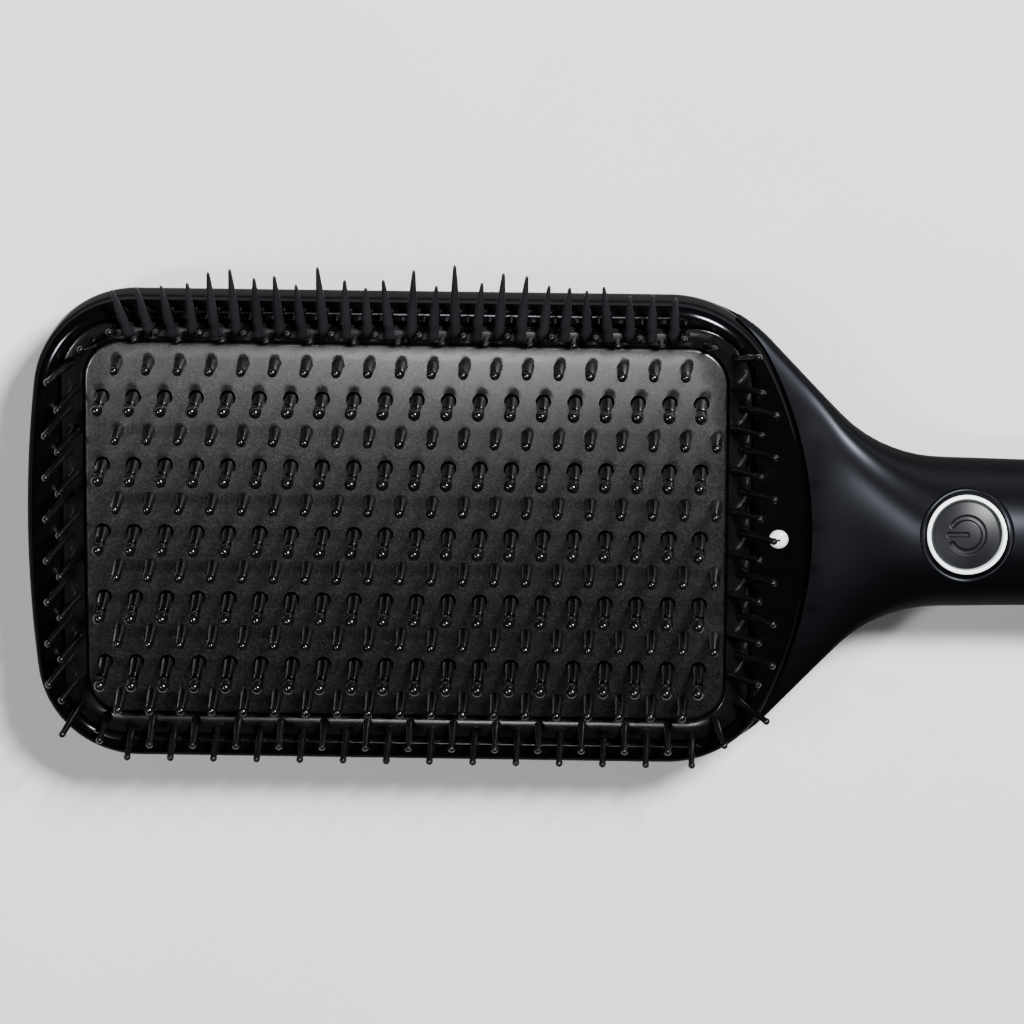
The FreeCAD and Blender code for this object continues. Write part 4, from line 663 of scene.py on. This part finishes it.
def neck_ring(x, wall, count):
    """The section at x, moved in by wall."""
    side, middle, above, below, power_above, power_below = neck_shape(x)
    ring = []
    for angle in full_turn(count):
        across = math.cos(angle)
        up = math.sin(angle)
        power = power_above if up > 0 else power_below
        height = (above if up > 0 else below) - wall
        y = math.copysign(abs(across) ** (2 / power), across) * (side - wall)
        ring.append((x, y, middle + math.copysign(abs(up) ** (2 / power), up) * height))
    return ring


def neck_body(wall, start, end, steps, count):
    """The closed form of neck and handle, moved in by wall."""
    points = []
    for k in range(steps):
        points.extend(neck_ring(start + (end - start) * k / (steps - 1), wall, count))
    faces = [tuple(reversed(face)) for face in strips(steps, count)]
    last = (steps - 1) * count
    faces.append(tuple(range(count)))
    faces.append(tuple(reversed(range(last, last + count))))
    return np.array(points), faces


def towards_y(angle):
    """The turning matrix that leans Z towards Y by an angle."""
    c = math.cos(angle)
    s = math.sin(angle)
    return np.array([[1, 0, 0], [0, c, s], [0, -s, c]])


def on_crown(x, along):
    """The turning matrix and place of something that stands square on the crowned plate."""
    turn = towards_y(along / CROWN)
    return turn, turn @ np.array([x, 0, CROWN]) + np.array([0, 0, PLATE_LEVEL - CROWN])


def crown_level(y):
    """The level of the plate's crowned front at places along Y."""
    return PLATE_LEVEL - CROWN + np.sqrt(CROWN**2 - np.asarray(y) ** 2)


def rows_of(count, shift):
    """The places of each row: along X, and round the crown."""
    columns = [FIELD_CENTRE + (k - (POST_COLUMNS - 1) / 2 + shift) * COLUMN_GAP for k in range(POST_COLUMNS)]
    return [[(x, ((count - 1) / 2 - row) * ROW_GAP) for x in columns] for row in range(count)]


def post_places():
    """The places of the posts, row by row."""
    return [spot for row in rows_of(POST_ROWS, -STAGGER) for spot in row]


def pin_places():
    """The outer two rows have no pin at the handle's end, where the plate's corners are."""
    rows = rows_of(POST_ROWS + 1, STAGGER)
    rows[0].pop()
    rows[-1].pop()
    return [spot for row in rows for spot in row]


def button_frame():
    """The turning matrix and place of the button's own frame."""
    return towards_y(BUTTON_TURN), np.array([BUTTON_PLACE, 0, HANDLE_LEVEL])


# ---- head --------------------------------------------------------------------------------------------------


def make_bezel():
    """The glossy frame: a rounded outer edge, a nearly flat top and a rolled lip round the opening."""
    outer, out = head_loop()
    inner, inner_out = rounded_loop(OPENING_CENTRE, OPENING_LENGTH, OPENING_WIDTH, OPENING_CORNER)
    foot = back_inset_at(PART_LEVEL)
    edge = 0.5
    lip = 0.9
    undercut = 0.6
    top_steps = 8
    outside = [(foot + WALL, PART_LEVEL), (foot + 2 * edge, PART_LEVEL), (foot + edge / 2, PART_LEVEL + 0.1)]
    for level in (PART_LEVEL + edge, 14.0, 15.0, 16.0, WIDEST_LEVEL, 18.5):
        outside.append((back_inset_at(level), level))
    for angle in quarter(12):
        level = BEZEL_LEVEL - BEZEL_ROUND * (1 - math.sin(angle))
        outside.append((BEZEL_ROUND * (1 - math.cos(angle)), level))
    inside = []
    for angle in quarter(6):
        inside.append((lip * (1 - math.sin(angle)), BEZEL_LEVEL - lip * (1 - math.cos(angle))))
    inside += [(0, FLANGE_LEVEL), (undercut, FLANGE_LEVEL)]
    rows = [at_level(outer - out * inset, level) for inset, level in outside]
    top = rows[-1]
    lip_edge = at_level(inner + inner_out * lip, BEZEL_LEVEL)
    rows += [top + (lip_edge - top) * k / top_steps for k in range(1, top_steps)]
    rows += [at_level(inner + inner_out * offset, level) for offset, level in inside]
    rows.append(at_level(outer - out * (foot + WALL), FLANGE_LEVEL))
    form = np.concatenate(rows), strips(len(rows), len(outer), along=True)
    piece("bezel", form, GLOSS, "brush", ["head_bezel"])


def circle(x, y, radius):
    """Points round a hole of the plate."""
    count = 24
    angles = np.arange(count) * 2 * math.pi / count
    return np.column_stack([x + radius * np.cos(angles), y + radius * np.sin(angles)])


def plate_holes():
    """Place and radius of each hole seen from above: a vent round each post and a close one for each pin."""
    holes = []
    for places, radius in ((post_places(), VENT_RADIUS), (pin_places(), PIN_FOOT + 0.05)):
        holes += [(x, CROWN * math.sin(along / CROWN), radius) for x, along in places]
    return holes


def plate_triangles(rim, edge):
    """The plate seen from above, inside its rim and outside its holes: points and triangles."""
    holes = plate_holes()
    loops = [rim] + [circle(x, y, radius) for x, y, radius in holes]
    margins = [circle(x, y, radius + 0.45) for x, y, radius in holes]
    borders = []
    first = 0
    for loop in loops:
        size = len(loop)
        borders += [(first + k, first + (k + 1) % size) for k in range(size)]
        first += size
    spots = [Vector(spot) for spot in np.concatenate(loops + margins)]
    result = geometry.delaunay_2d_cdt(spots, borders, [], 0, 1e-5)
    flat = np.array([tuple(spot) for spot in result[0]])
    triangles = np.array(result[2])
    middles = flat[triangles].mean(axis=1)
    keep = np.ones(len(triangles), bool)
    for x, y, radius in holes:
        keep &= (middles[:, 0] - x) ** 2 + (middles[:, 1] - y) ** 2 > (radius * 0.97) ** 2
    straight = [PLATE_LENGTH / 2 - PLATE_CORNER, PLATE_WIDTH / 2 - PLATE_CORNER]
    past = np.abs(middles - [PLATE_CENTRE, 0]) - straight
    keep &= np.hypot(np.maximum(past[:, 0], 0), np.maximum(past[:, 1], 0)) < PLATE_CORNER - edge * 0.98
    return flat, triangles[keep].tolist()


def open_edges(triangles):
    """The edges that only one of the triangles has."""
    found = {}
    for a, b, c in triangles:
        for start, end in ((a, b), (b, c), (c, a)):
            if (end, start) in found:
                del found[(end, start)]
            else:
                found[(start, end)] = True
    return list(found)


def make_plate():
    """The crowned plate with a rounded edge, a vent round each post and a hole for each pin."""
    edge = 0.55
    outline, out = rounded_loop(
        PLATE_CENTRE, PLATE_LENGTH, PLATE_WIDTH, PLATE_CORNER, side_count=70, corner_count=14
    )
    rim = outline - out * edge
    flat, triangles = plate_triangles(rim, edge)
    total = len(flat)
    level = crown_level(flat[:, 1])
    layers = [np.column_stack([flat, level]), np.column_stack([flat, level - PLATE_THICK])]
    side = []
    for angle in quarter(5)[1:]:
        place = rim + out * edge * math.sin(angle)
        side.append(np.column_stack([place, crown_level(place[:, 1]) - edge * (1 - math.cos(angle))]))
    side.append(np.column_stack([outline, crown_level(outline[:, 1]) - PLATE_THICK]))
    firsts = [2 * total + row * len(rim) for row in range(len(side))]
    on_rim = {tuple(np.round(spot, 4)): k for k, spot in enumerate(rim)}
    faces = [tuple(t) for t in triangles] + [(c + total, b + total, a + total) for a, b, c in triangles]
    for a, b in open_edges(triangles):
        i, j = (on_rim.get(tuple(np.round(flat[end], 4))) for end in (a, b))
        if i is None or j is None:
            faces.append((a, a + total, b + total, b))
            continue
        down_a = [a] + [first + i for first in firsts] + [a + total]
        down_b = [b] + [first + j for first in firsts] + [b + total]
        for k in range(len(down_a) - 1):
            faces.append((down_a[k], down_a[k + 1], down_b[k + 1], down_b[k]))
    piece("plate", (np.concatenate(layers + side), faces), PLATE, "brush", ["face_plate"])


def make_posts():
    """Metal posts that taper to a spigot for the tip, and the rails that they stand on."""
    floor = -(PLATE_THICK + CHAMBER_GAP)
    root = floor + 0.5
    chamfer = 0.1
    steps = 4
    profile = [(0, root), (POST_FOOT + 0.05, root), (POST_FOOT + 0.05, -0.6), (POST_FOOT, 0.0)]
    for k in range(1, steps):
        profile.append((POST_FOOT + (POST_TOP - POST_FOOT) * k / steps, SHOULDER * k / steps))
    profile += [(POST_TOP, SHOULDER - chamfer), (POST_TOP - chamfer, SHOULDER)]
    profile += [(0.6, SHOULDER), (0.6, SHOULDER + 2.0), (0, SHOULDER + 2.1)]
    forms = [copies(lathe(profile, 20), [on_crown(x, along) for x, along in post_places()])]
    reach = (POST_COLUMNS - 1) * COLUMN_GAP / 2 + STRIP_END
    half_width = 1.7
    levels = [(floor + 0.02, 0), (floor + 0.82, 0), (floor + 0.97, 0.15)]
    rail = bar((-reach, -half_width), (reach, half_width), levels)
    for row in range(POST_ROWS):
        along = ((POST_ROWS - 1) / 2 - row) * ROW_GAP
        forms.append(copies(rail, [on_crown(FIELD_CENTRE - STAGGER * COLUMN_GAP, along)]))
    piece("posts", merged(*forms), POST, "brush", ["post_rails"])


def make_post_caps():
    """The posts' black tips: sleeves on the spigots, each with a round end."""
    radius = 1.2
    bore = 0.66
    profile = [(0, SHOULDER + 2.3), (bore, SHOULDER + 2.3), (bore, SHOULDER + 0.02), (1.1, SHOULDER + 0.02)]
    profile += [(radius, SHOULDER + 0.18)] + ball_end(radius, POST_HEIGHT, 7)
    form = copies(lathe(profile, 20), [on_crown(x, along) for x, along in post_places()])
    piece("post_caps", form, BRISTLE, "brush", ["post_tips"])


def make_pins():
    """Black pins that come up through the plate and taper to a round end."""
    under = -PLATE_THICK
    profile = [(0, under - 0.7), (1.28, under - 0.7), (1.28, under - 0.1), (PIN_FOOT, under - 0.05)]
    profile += [(PIN_FOOT, 0.0), (1.15, 2.0), (1.02, 6.0)] + ball_end(PIN_TOP, PIN_HEIGHT, 6)
    form = copies(lathe(profile, 18), [on_crown(x, along) for x, along in pin_places()])
    piece("pins", form, BRISTLE, "brush", ["pin_strips"])


def round_the_plate(distance, offset):
    """A point at this distance round the face plate, moved out by offset, and its outward direction."""
    r = PLATE_CORNER
    a = PLATE_LENGTH / 2 - r
    b = PLATE_WIDTH / 2 - r
    turn = r * math.pi / 2
    corners = {1: (a, b, 0), 3: (-a, b, 90), 5: (-a, -b, 180), 7: (a, -b, 270)}
    for kind, length in enumerate((2 * b, turn, 2 * a, turn, 2 * b, turn, 2 * a, turn)):
        if distance <= length:
            break
        distance -= length
    if kind in corners:
        cx, cy, begin = corners[kind]
        angle = math.radians(begin) + distance / r
        out = (math.cos(angle), math.sin(angle))
        x, y = cx + r * out[0], cy + r * out[1]
    else:
        out, x, y = {
            0: ((1, 0), a + r, -b + distance),
            2: ((0, 1), a - distance, b + r),
            4: ((-1, 0), -a - r, b - distance),
            6: ((0, -1), -a + distance, -b - r),
        }[kind]
    return x + out[0] * offset + PLATE_CENTRE, y + out[1] * offset, out


# distance from one rim bristle to the next round the plate's edge
RIM_STEP = (2 * (PLATE_LENGTH + PLATE_WIDTH - 4 * PLATE_CORNER) + 2 * math.pi * PLATE_CORNER) / RIM_COUNT

# distance from the plate and length of the near and the far rim bristles
RIM_ROWS = ((1.6, 10.4), (3.3, 12.4))

# degrees that a rim bristle leans outwards, more of them at the handle's end (True) and at the tip (False),
# and degrees that it leans along its row there
RIM_SPLAY = 10.0
END_SPLAY = {True: 22.0, False: 8.0}
END_ASIDE = {True: 7.0, False: -12.0}


def rim_ring():
    """The closed ring that carries the rim bristles, with its upper edges rounded."""
    play = 0.15
    gap = 0.3
    outer, outer_out = rounded_loop(
        OPENING_CENTRE, OPENING_LENGTH - 2 * play, OPENING_WIDTH - 2 * play, OPENING_CORNER - play
    )
    inner, inner_out = rounded_loop(
        PLATE_CENTRE, PLATE_LENGTH + 2 * gap, PLATE_WIDTH + 2 * gap, PLATE_CORNER + gap
    )
    soft = 0.45
    side = [(0, RIM_FOOT), (0, RIM_LEVEL - soft), (soft * 0.3, RIM_LEVEL - soft * 0.3), (soft, RIM_LEVEL)]
    rows = [at_level(outer - outer_out * inset, level) for inset, level in side]
    rows += [at_level(inner + inner_out * inset, level) for inset, level in reversed(side)]
    return np.concatenate(rows), strips(len(rows), len(outer), along=True)


def rim_bristle(k):
    """One of the ball-ended bristles round the plate, which stand in turn near to it and far from it."""
    offset, length = RIM_ROWS[k % 2]
    x, y, out = round_the_plate((k + 0.5) * RIM_STEP, offset)
    at_handle = out[0] > 0
    splay = math.radians(RIM_SPLAY + END_SPLAY[at_handle] * out[0] ** 2)
    aside = math.radians(END_ASIDE[at_handle]) * out[0] ** 6
    profile = [(0, -0.5), (1.05, -0.5), (1.0, 0.25), (0.82, 0.6), (0.74, 3.0), (0.6, length - 1.6)]
    profile += [(0.62, length - 1.35)] + ball_end(0.72, length)
    return copies(lathe(profile, 14), [leaning_frame(out, splay, (x, y, RIM_LEVEL), aside=aside)])


def make_rim():
    """The frame round the plate with its splayed bristles."""
    form = merged(rim_ring(), *[rim_bristle(k) for k in range(RIM_COUNT)])
    piece("rim", form, RIM, "brush", ["rim_bristles"])


# the comb's bristles by their place round the plate, in steps of RIM_STEP: how far each one reaches, and how
# many degrees it leans towards the handle
COMB = {
    43: (12.0, -12), 42: (12.8, -9), 41: (13.2, -6), 40: (14.0, -2), 39: (17.1, -2), 38: (18.0, -2),
    37: (15.6, -1), 36: (16.3, -2), 35: (13.9, -3), 34: (18.9, -2), 33: (15.4, 1), 32: (13.3, 0),
    31: (15.6, -3), 30: (18.4, 3), 29: (14.1, 4), 28: (19.9, 1), 27: (15.1, 5), 26: (17.9, 4),
    25: (17.2, 5), 24: (14.6, 6), 23: (14.1, 5), 22: (13.3, 1), 21: (14.4, -3), 20: (12.0, 0),
    19: (12.4, 1), 18: (11.6, 2),
}


def make_comb():
    """The strip of long tapered bristles that lean out over the side towards the light."""
    row = PLATE_WIDTH / 2 + COMB_OFFSET
    foot = 1.1
    taper = 0.85
    lean = math.radians(60.0)
    forms = []
    places = []
    for k, (reach, sideways) in COMB.items():
        x = round_the_plate(k * RIM_STEP, COMB_OFFSET)[0]
        profile = [(0, -1.05), (0.6, -0.9), (0.98, -0.3), (foot, 0.5)]
        for share in (0.15, 0.3, 0.45, 0.6, 0.75, 0.88, 0.96):
            profile.append((foot - taper * share**1.7, reach * share))
        profile.append((0, reach))
        place = (x, row, RIM_LEVEL + foot + 0.1)
        forms.append(copies(lathe(profile, 14), [leaning_frame((0, 1), lean, place, math.radians(sideways))]))
        places.append(x)
    start = min(places) - RIM_STEP / 2
    end = max(places) + RIM_STEP / 2
    levels = [(RIM_LEVEL + 0.02, 0), (RIM_LEVEL + 0.75, 0), (RIM_LEVEL + 0.95, 0.2)]
    forms.append(bar((start, row - 1), (end, row + 1), levels))
    piece("comb", merged(*forms), COMB_FINISH, "brush", ["side_comb"])


def make_ion_outlet():
    """The small domed nozzle, a closed ring round its bore."""
    foot = 17.2
    wall = 0.3
    profile = [(ION_BORE + wall, foot), (ION_RADIUS, foot), (ION_RADIUS, BEZEL_LEVEL)]
    for angle in quarter(8)[1:-1]:
        radius = ION_BORE + (ION_RADIUS - ION_BORE) * math.cos(angle)
        profile.append((radius, BEZEL_LEVEL + ION_STAND * math.sin(angle)))
    profile += [(ION_BORE, BEZEL_LEVEL + ION_STAND - 0.06), (ION_BORE, BEZEL_LEVEL - 0.6)]
    profile += [(ION_BORE + wall, BEZEL_LEVEL - 1.0)]
    count = 40
    points, faces = lathe(profile, count)
    last = (len(profile) - 1) * count
    faces += [(last + k, last + (k + 1) % count, (k + 1) % count, k) for k in range(count)]
    points[:, 0] += ION_PLACE
    piece("outlet", (points, faces), WHITE, "brush", ["ion_outlet"])


# ---- neck, handle and button -------------------------------------------------------------------------------


def surface_height(x, y):
    """Height of the outer shell along the button's own axis, at a place in the button's frame."""
    low, high = 6.0, 20.0
    halvings = 30
    turn, place = button_frame()
    side, middle, above, below, power_above, power_below = neck_shape(place[0] + x)
    for _ in range(halvings):
        z = (low + high) / 2
        point = turn @ np.array([0, y, z]) + place
        up = point[2] - middle
        power, height = (power_above, above) if up > 0 else (power_below, below)
        if (abs(point[1]) / side) ** power + (abs(up) / height) ** power > 1:
            high = z
        else:
            low = z
    return (low + high) / 2


def conformal(profile, count, base=()):
    """A closed band round the button's axis, from pairs of radius and height over the shell's own surface.

    The pairs of base come first, with heights over the handle's axis.
    """
    turn, place = button_frame()
    points = []
    for radius, height in base:
        points += level_ring(radius, height, count)
    for radius, over in profile:
        points += [(x, y, surface_height(x, y) + over) for x, y, _ in level_ring(radius, 0, count)]
    return np.array(points) @ turn.T + place, strips(len(base) + len(profile), count, along=True)


def make_ring():
    """The lit ring, with its seat under the shell and its narrow face just below the shell's surface."""
    base = [(7.0, 7.6), (8.9, 7.6), (8.9, 8.7), (7.72, 8.8)]
    profile = [(7.72, -0.4), (7.7, -0.22), (7.62, -0.15), (7.1, -0.15), (7.02, -0.22), (7.0, -0.4)]
    piece("ring", conformal(profile, 96, base), LIT, "brush", ["light_ring"])


def symbol_depth(x, y):
    """How far the power symbol is cut in at a place on the cap, from 0 to 1, with soft edges."""
    soft = 0.13
    middle = 3.3
    half = 0.45
    gap = math.radians(34)
    bar_middle, bar_reach, bar_half = -1.7, 1.75, 0.4
    arc = abs(math.hypot(x, y) - middle) - half
    if abs(math.atan2(y, -x)) < gap:
        end_x = -middle * math.cos(gap)
        end_y = math.copysign(middle * math.sin(gap), y)
        arc = math.hypot(x - end_x, y - end_y) - half
    stroke = math.hypot(max(abs(x - bar_middle) - bar_reach, 0), y) - bar_half
    return 1 - blend(min(arc, stroke), -soft, soft)


def make_button():
    """The slightly domed cap, with the power symbol cut into it and a round edge, and the stem under it."""
    turn, place = button_frame()
    count = 128
    rings = 56
    dome = 0.8
    peak = 12.9
    cut = 0.55
    symbol_field = 6.3

    def top(radius):
        return peak - dome * (radius / BUTTON_RADIUS) ** 2

    points = [(0.0, 0.0, top(0) - cut * symbol_depth(0, 0))]
    for i in range(1, rings + 1):
        radius = symbol_field * i / rings
        points += [(x, y, z - cut * symbol_depth(x, y)) for x, y, z in level_ring(radius, top(radius), count)]
    low = top(BUTTON_RADIUS)
    edge = [(6.48, low + 0.02), (6.62, low - 0.07), (6.69, low - 0.22), (BUTTON_RADIUS, low - 0.45)]
    stem = [(BUTTON_RADIUS, 9.5), (3.5, 9.5), (3.5, 6.5), (4.8, 6.5), (4.8, 5.7)]
    for radius, z in edge + stem:
        points += level_ring(radius, z, count)
    rows = rings + len(edge + stem)
    faces = [(0, 1 + k, 1 + (k + 1) % count) for k in range(count)]
    faces += [tuple(reversed(face)) for face in strips(rows, count, first=1)]
    faces.append(tuple(1 + (rows - 1) * count + k for k in range(count)))
    form = np.array(points) @ turn.T + place, faces
    piece("button", form, BUTTON, "button", ["power_button"], sharp=60.0)


def cutter(name, points, faces):
    """A closed form to carve or to carve with, its faces turned outwards."""
    obj = mesh_object(name, points, faces)
    shaper = bmesh.new()
    shaper.from_mesh(obj.data)
    bmesh.ops.recalc_face_normals(shaper, faces=shaper.faces)
    shaper.to_mesh(obj.data)
    shaper.free()
    return obj


def carve(base, tools):
    """Cuts each tool out of the base and removes the tools."""
    for tool in tools:
        modifier = base.modifiers.new("cut", "BOOLEAN")
        modifier.operation = "DIFFERENCE"
        modifier.solver = "EXACT"
        modifier.object = tool
    bpy.context.view_layer.update()
    shaped = base.evaluated_get(bpy.context.evaluated_depsgraph_get())
    mesh = bpy.data.meshes.new_from_object(shaped)
    base.modifiers.clear()
    base.data = mesh
    for tool in tools:
        bpy.data.objects.remove(tool)


def parting(floor, gap):
    """The space of the back shell: all below the line between the two shells, which rises to the handle."""
    far = HANDLE_END + 10
    low = PART_LEVEL + gap
    high = HANDLE_LEVEL + gap
    line = [(-far, low), (RISE_START, low), (NECK_END, high), (far, high)]
    return slab([(-far, floor)] + line + [(far, floor)], far)


def make_front_shell():
    """The satin front of neck and handle, cut to the frame's outline, with a well for the button."""
    seam = 0.2
    frame_gap = 0.25
    shell_start = 62.0
    reach = 80
    base = cutter("front_shell", *neck_body(0, 50.0, HANDLE_END, steps=230, count=160))
    inner = cutter("inner", *neck_body(WALL, 48.0, HANDLE_END + 1, steps=90, count=96))
    zone = cutter("zone", *parting(-60, seam))
    outline, out = head_loop()
    frame_space = cutter("frame_space", *prism(outline + out * frame_gap, -5, 60))
    head_end = [(-10, -reach), (shell_start, -reach), (shell_start, reach), (-10, reach)]
    tip = cutter("tip", *prism(head_end, -50, reach))
    turn, place = button_frame()
    points, faces = lathe([(0, 5), (WELL_RADIUS, 5), (WELL_RADIUS, 25), (0, 25)], 96)
    well = cutter("well", points @ turn.T + place, faces)
    carve(base, [inner, zone, frame_space, tip, well])
    dress(base, SATIN, "brush", ["handle_front_shell"], sharp=35.0)


def make_button_surround():
    """The shallow groove of the shell round the lit ring."""
    depth = -1.9
    profile = [(7.76, depth), (7.76, -0.2), (7.84, -0.3), (8.5, -0.55), (8.85, -0.38), (9.05, -0.12)]
    profile += [(WELL_RADIUS, 0.0), (WELL_RADIUS, depth)]
    piece("button_surround", conformal(profile, 128), SATIN, "brush")


# ---- floor, and the making of it all -----------------------------------------------------------------------


def make_floor():
    """Plain paper, 6 metres a side, at the level of the table."""
    half = 3000.0
    corners = [(-half, -half, 0), (half, -half, 0), (half, half, 0), (-half, half, 0)]
    floor = mesh_object("floor", corners, [(0, 1, 2, 3)])
    floor.data.materials.append(floor_finish())


look_camera()
studio()
make_floor()
finish_nodes()
make_bezel()
make_plate()
make_posts()
make_post_caps()
make_pins()
make_rim()
make_comb()
make_ion_outlet()
make_front_shell()
make_button_surround()
make_ring()
make_button()
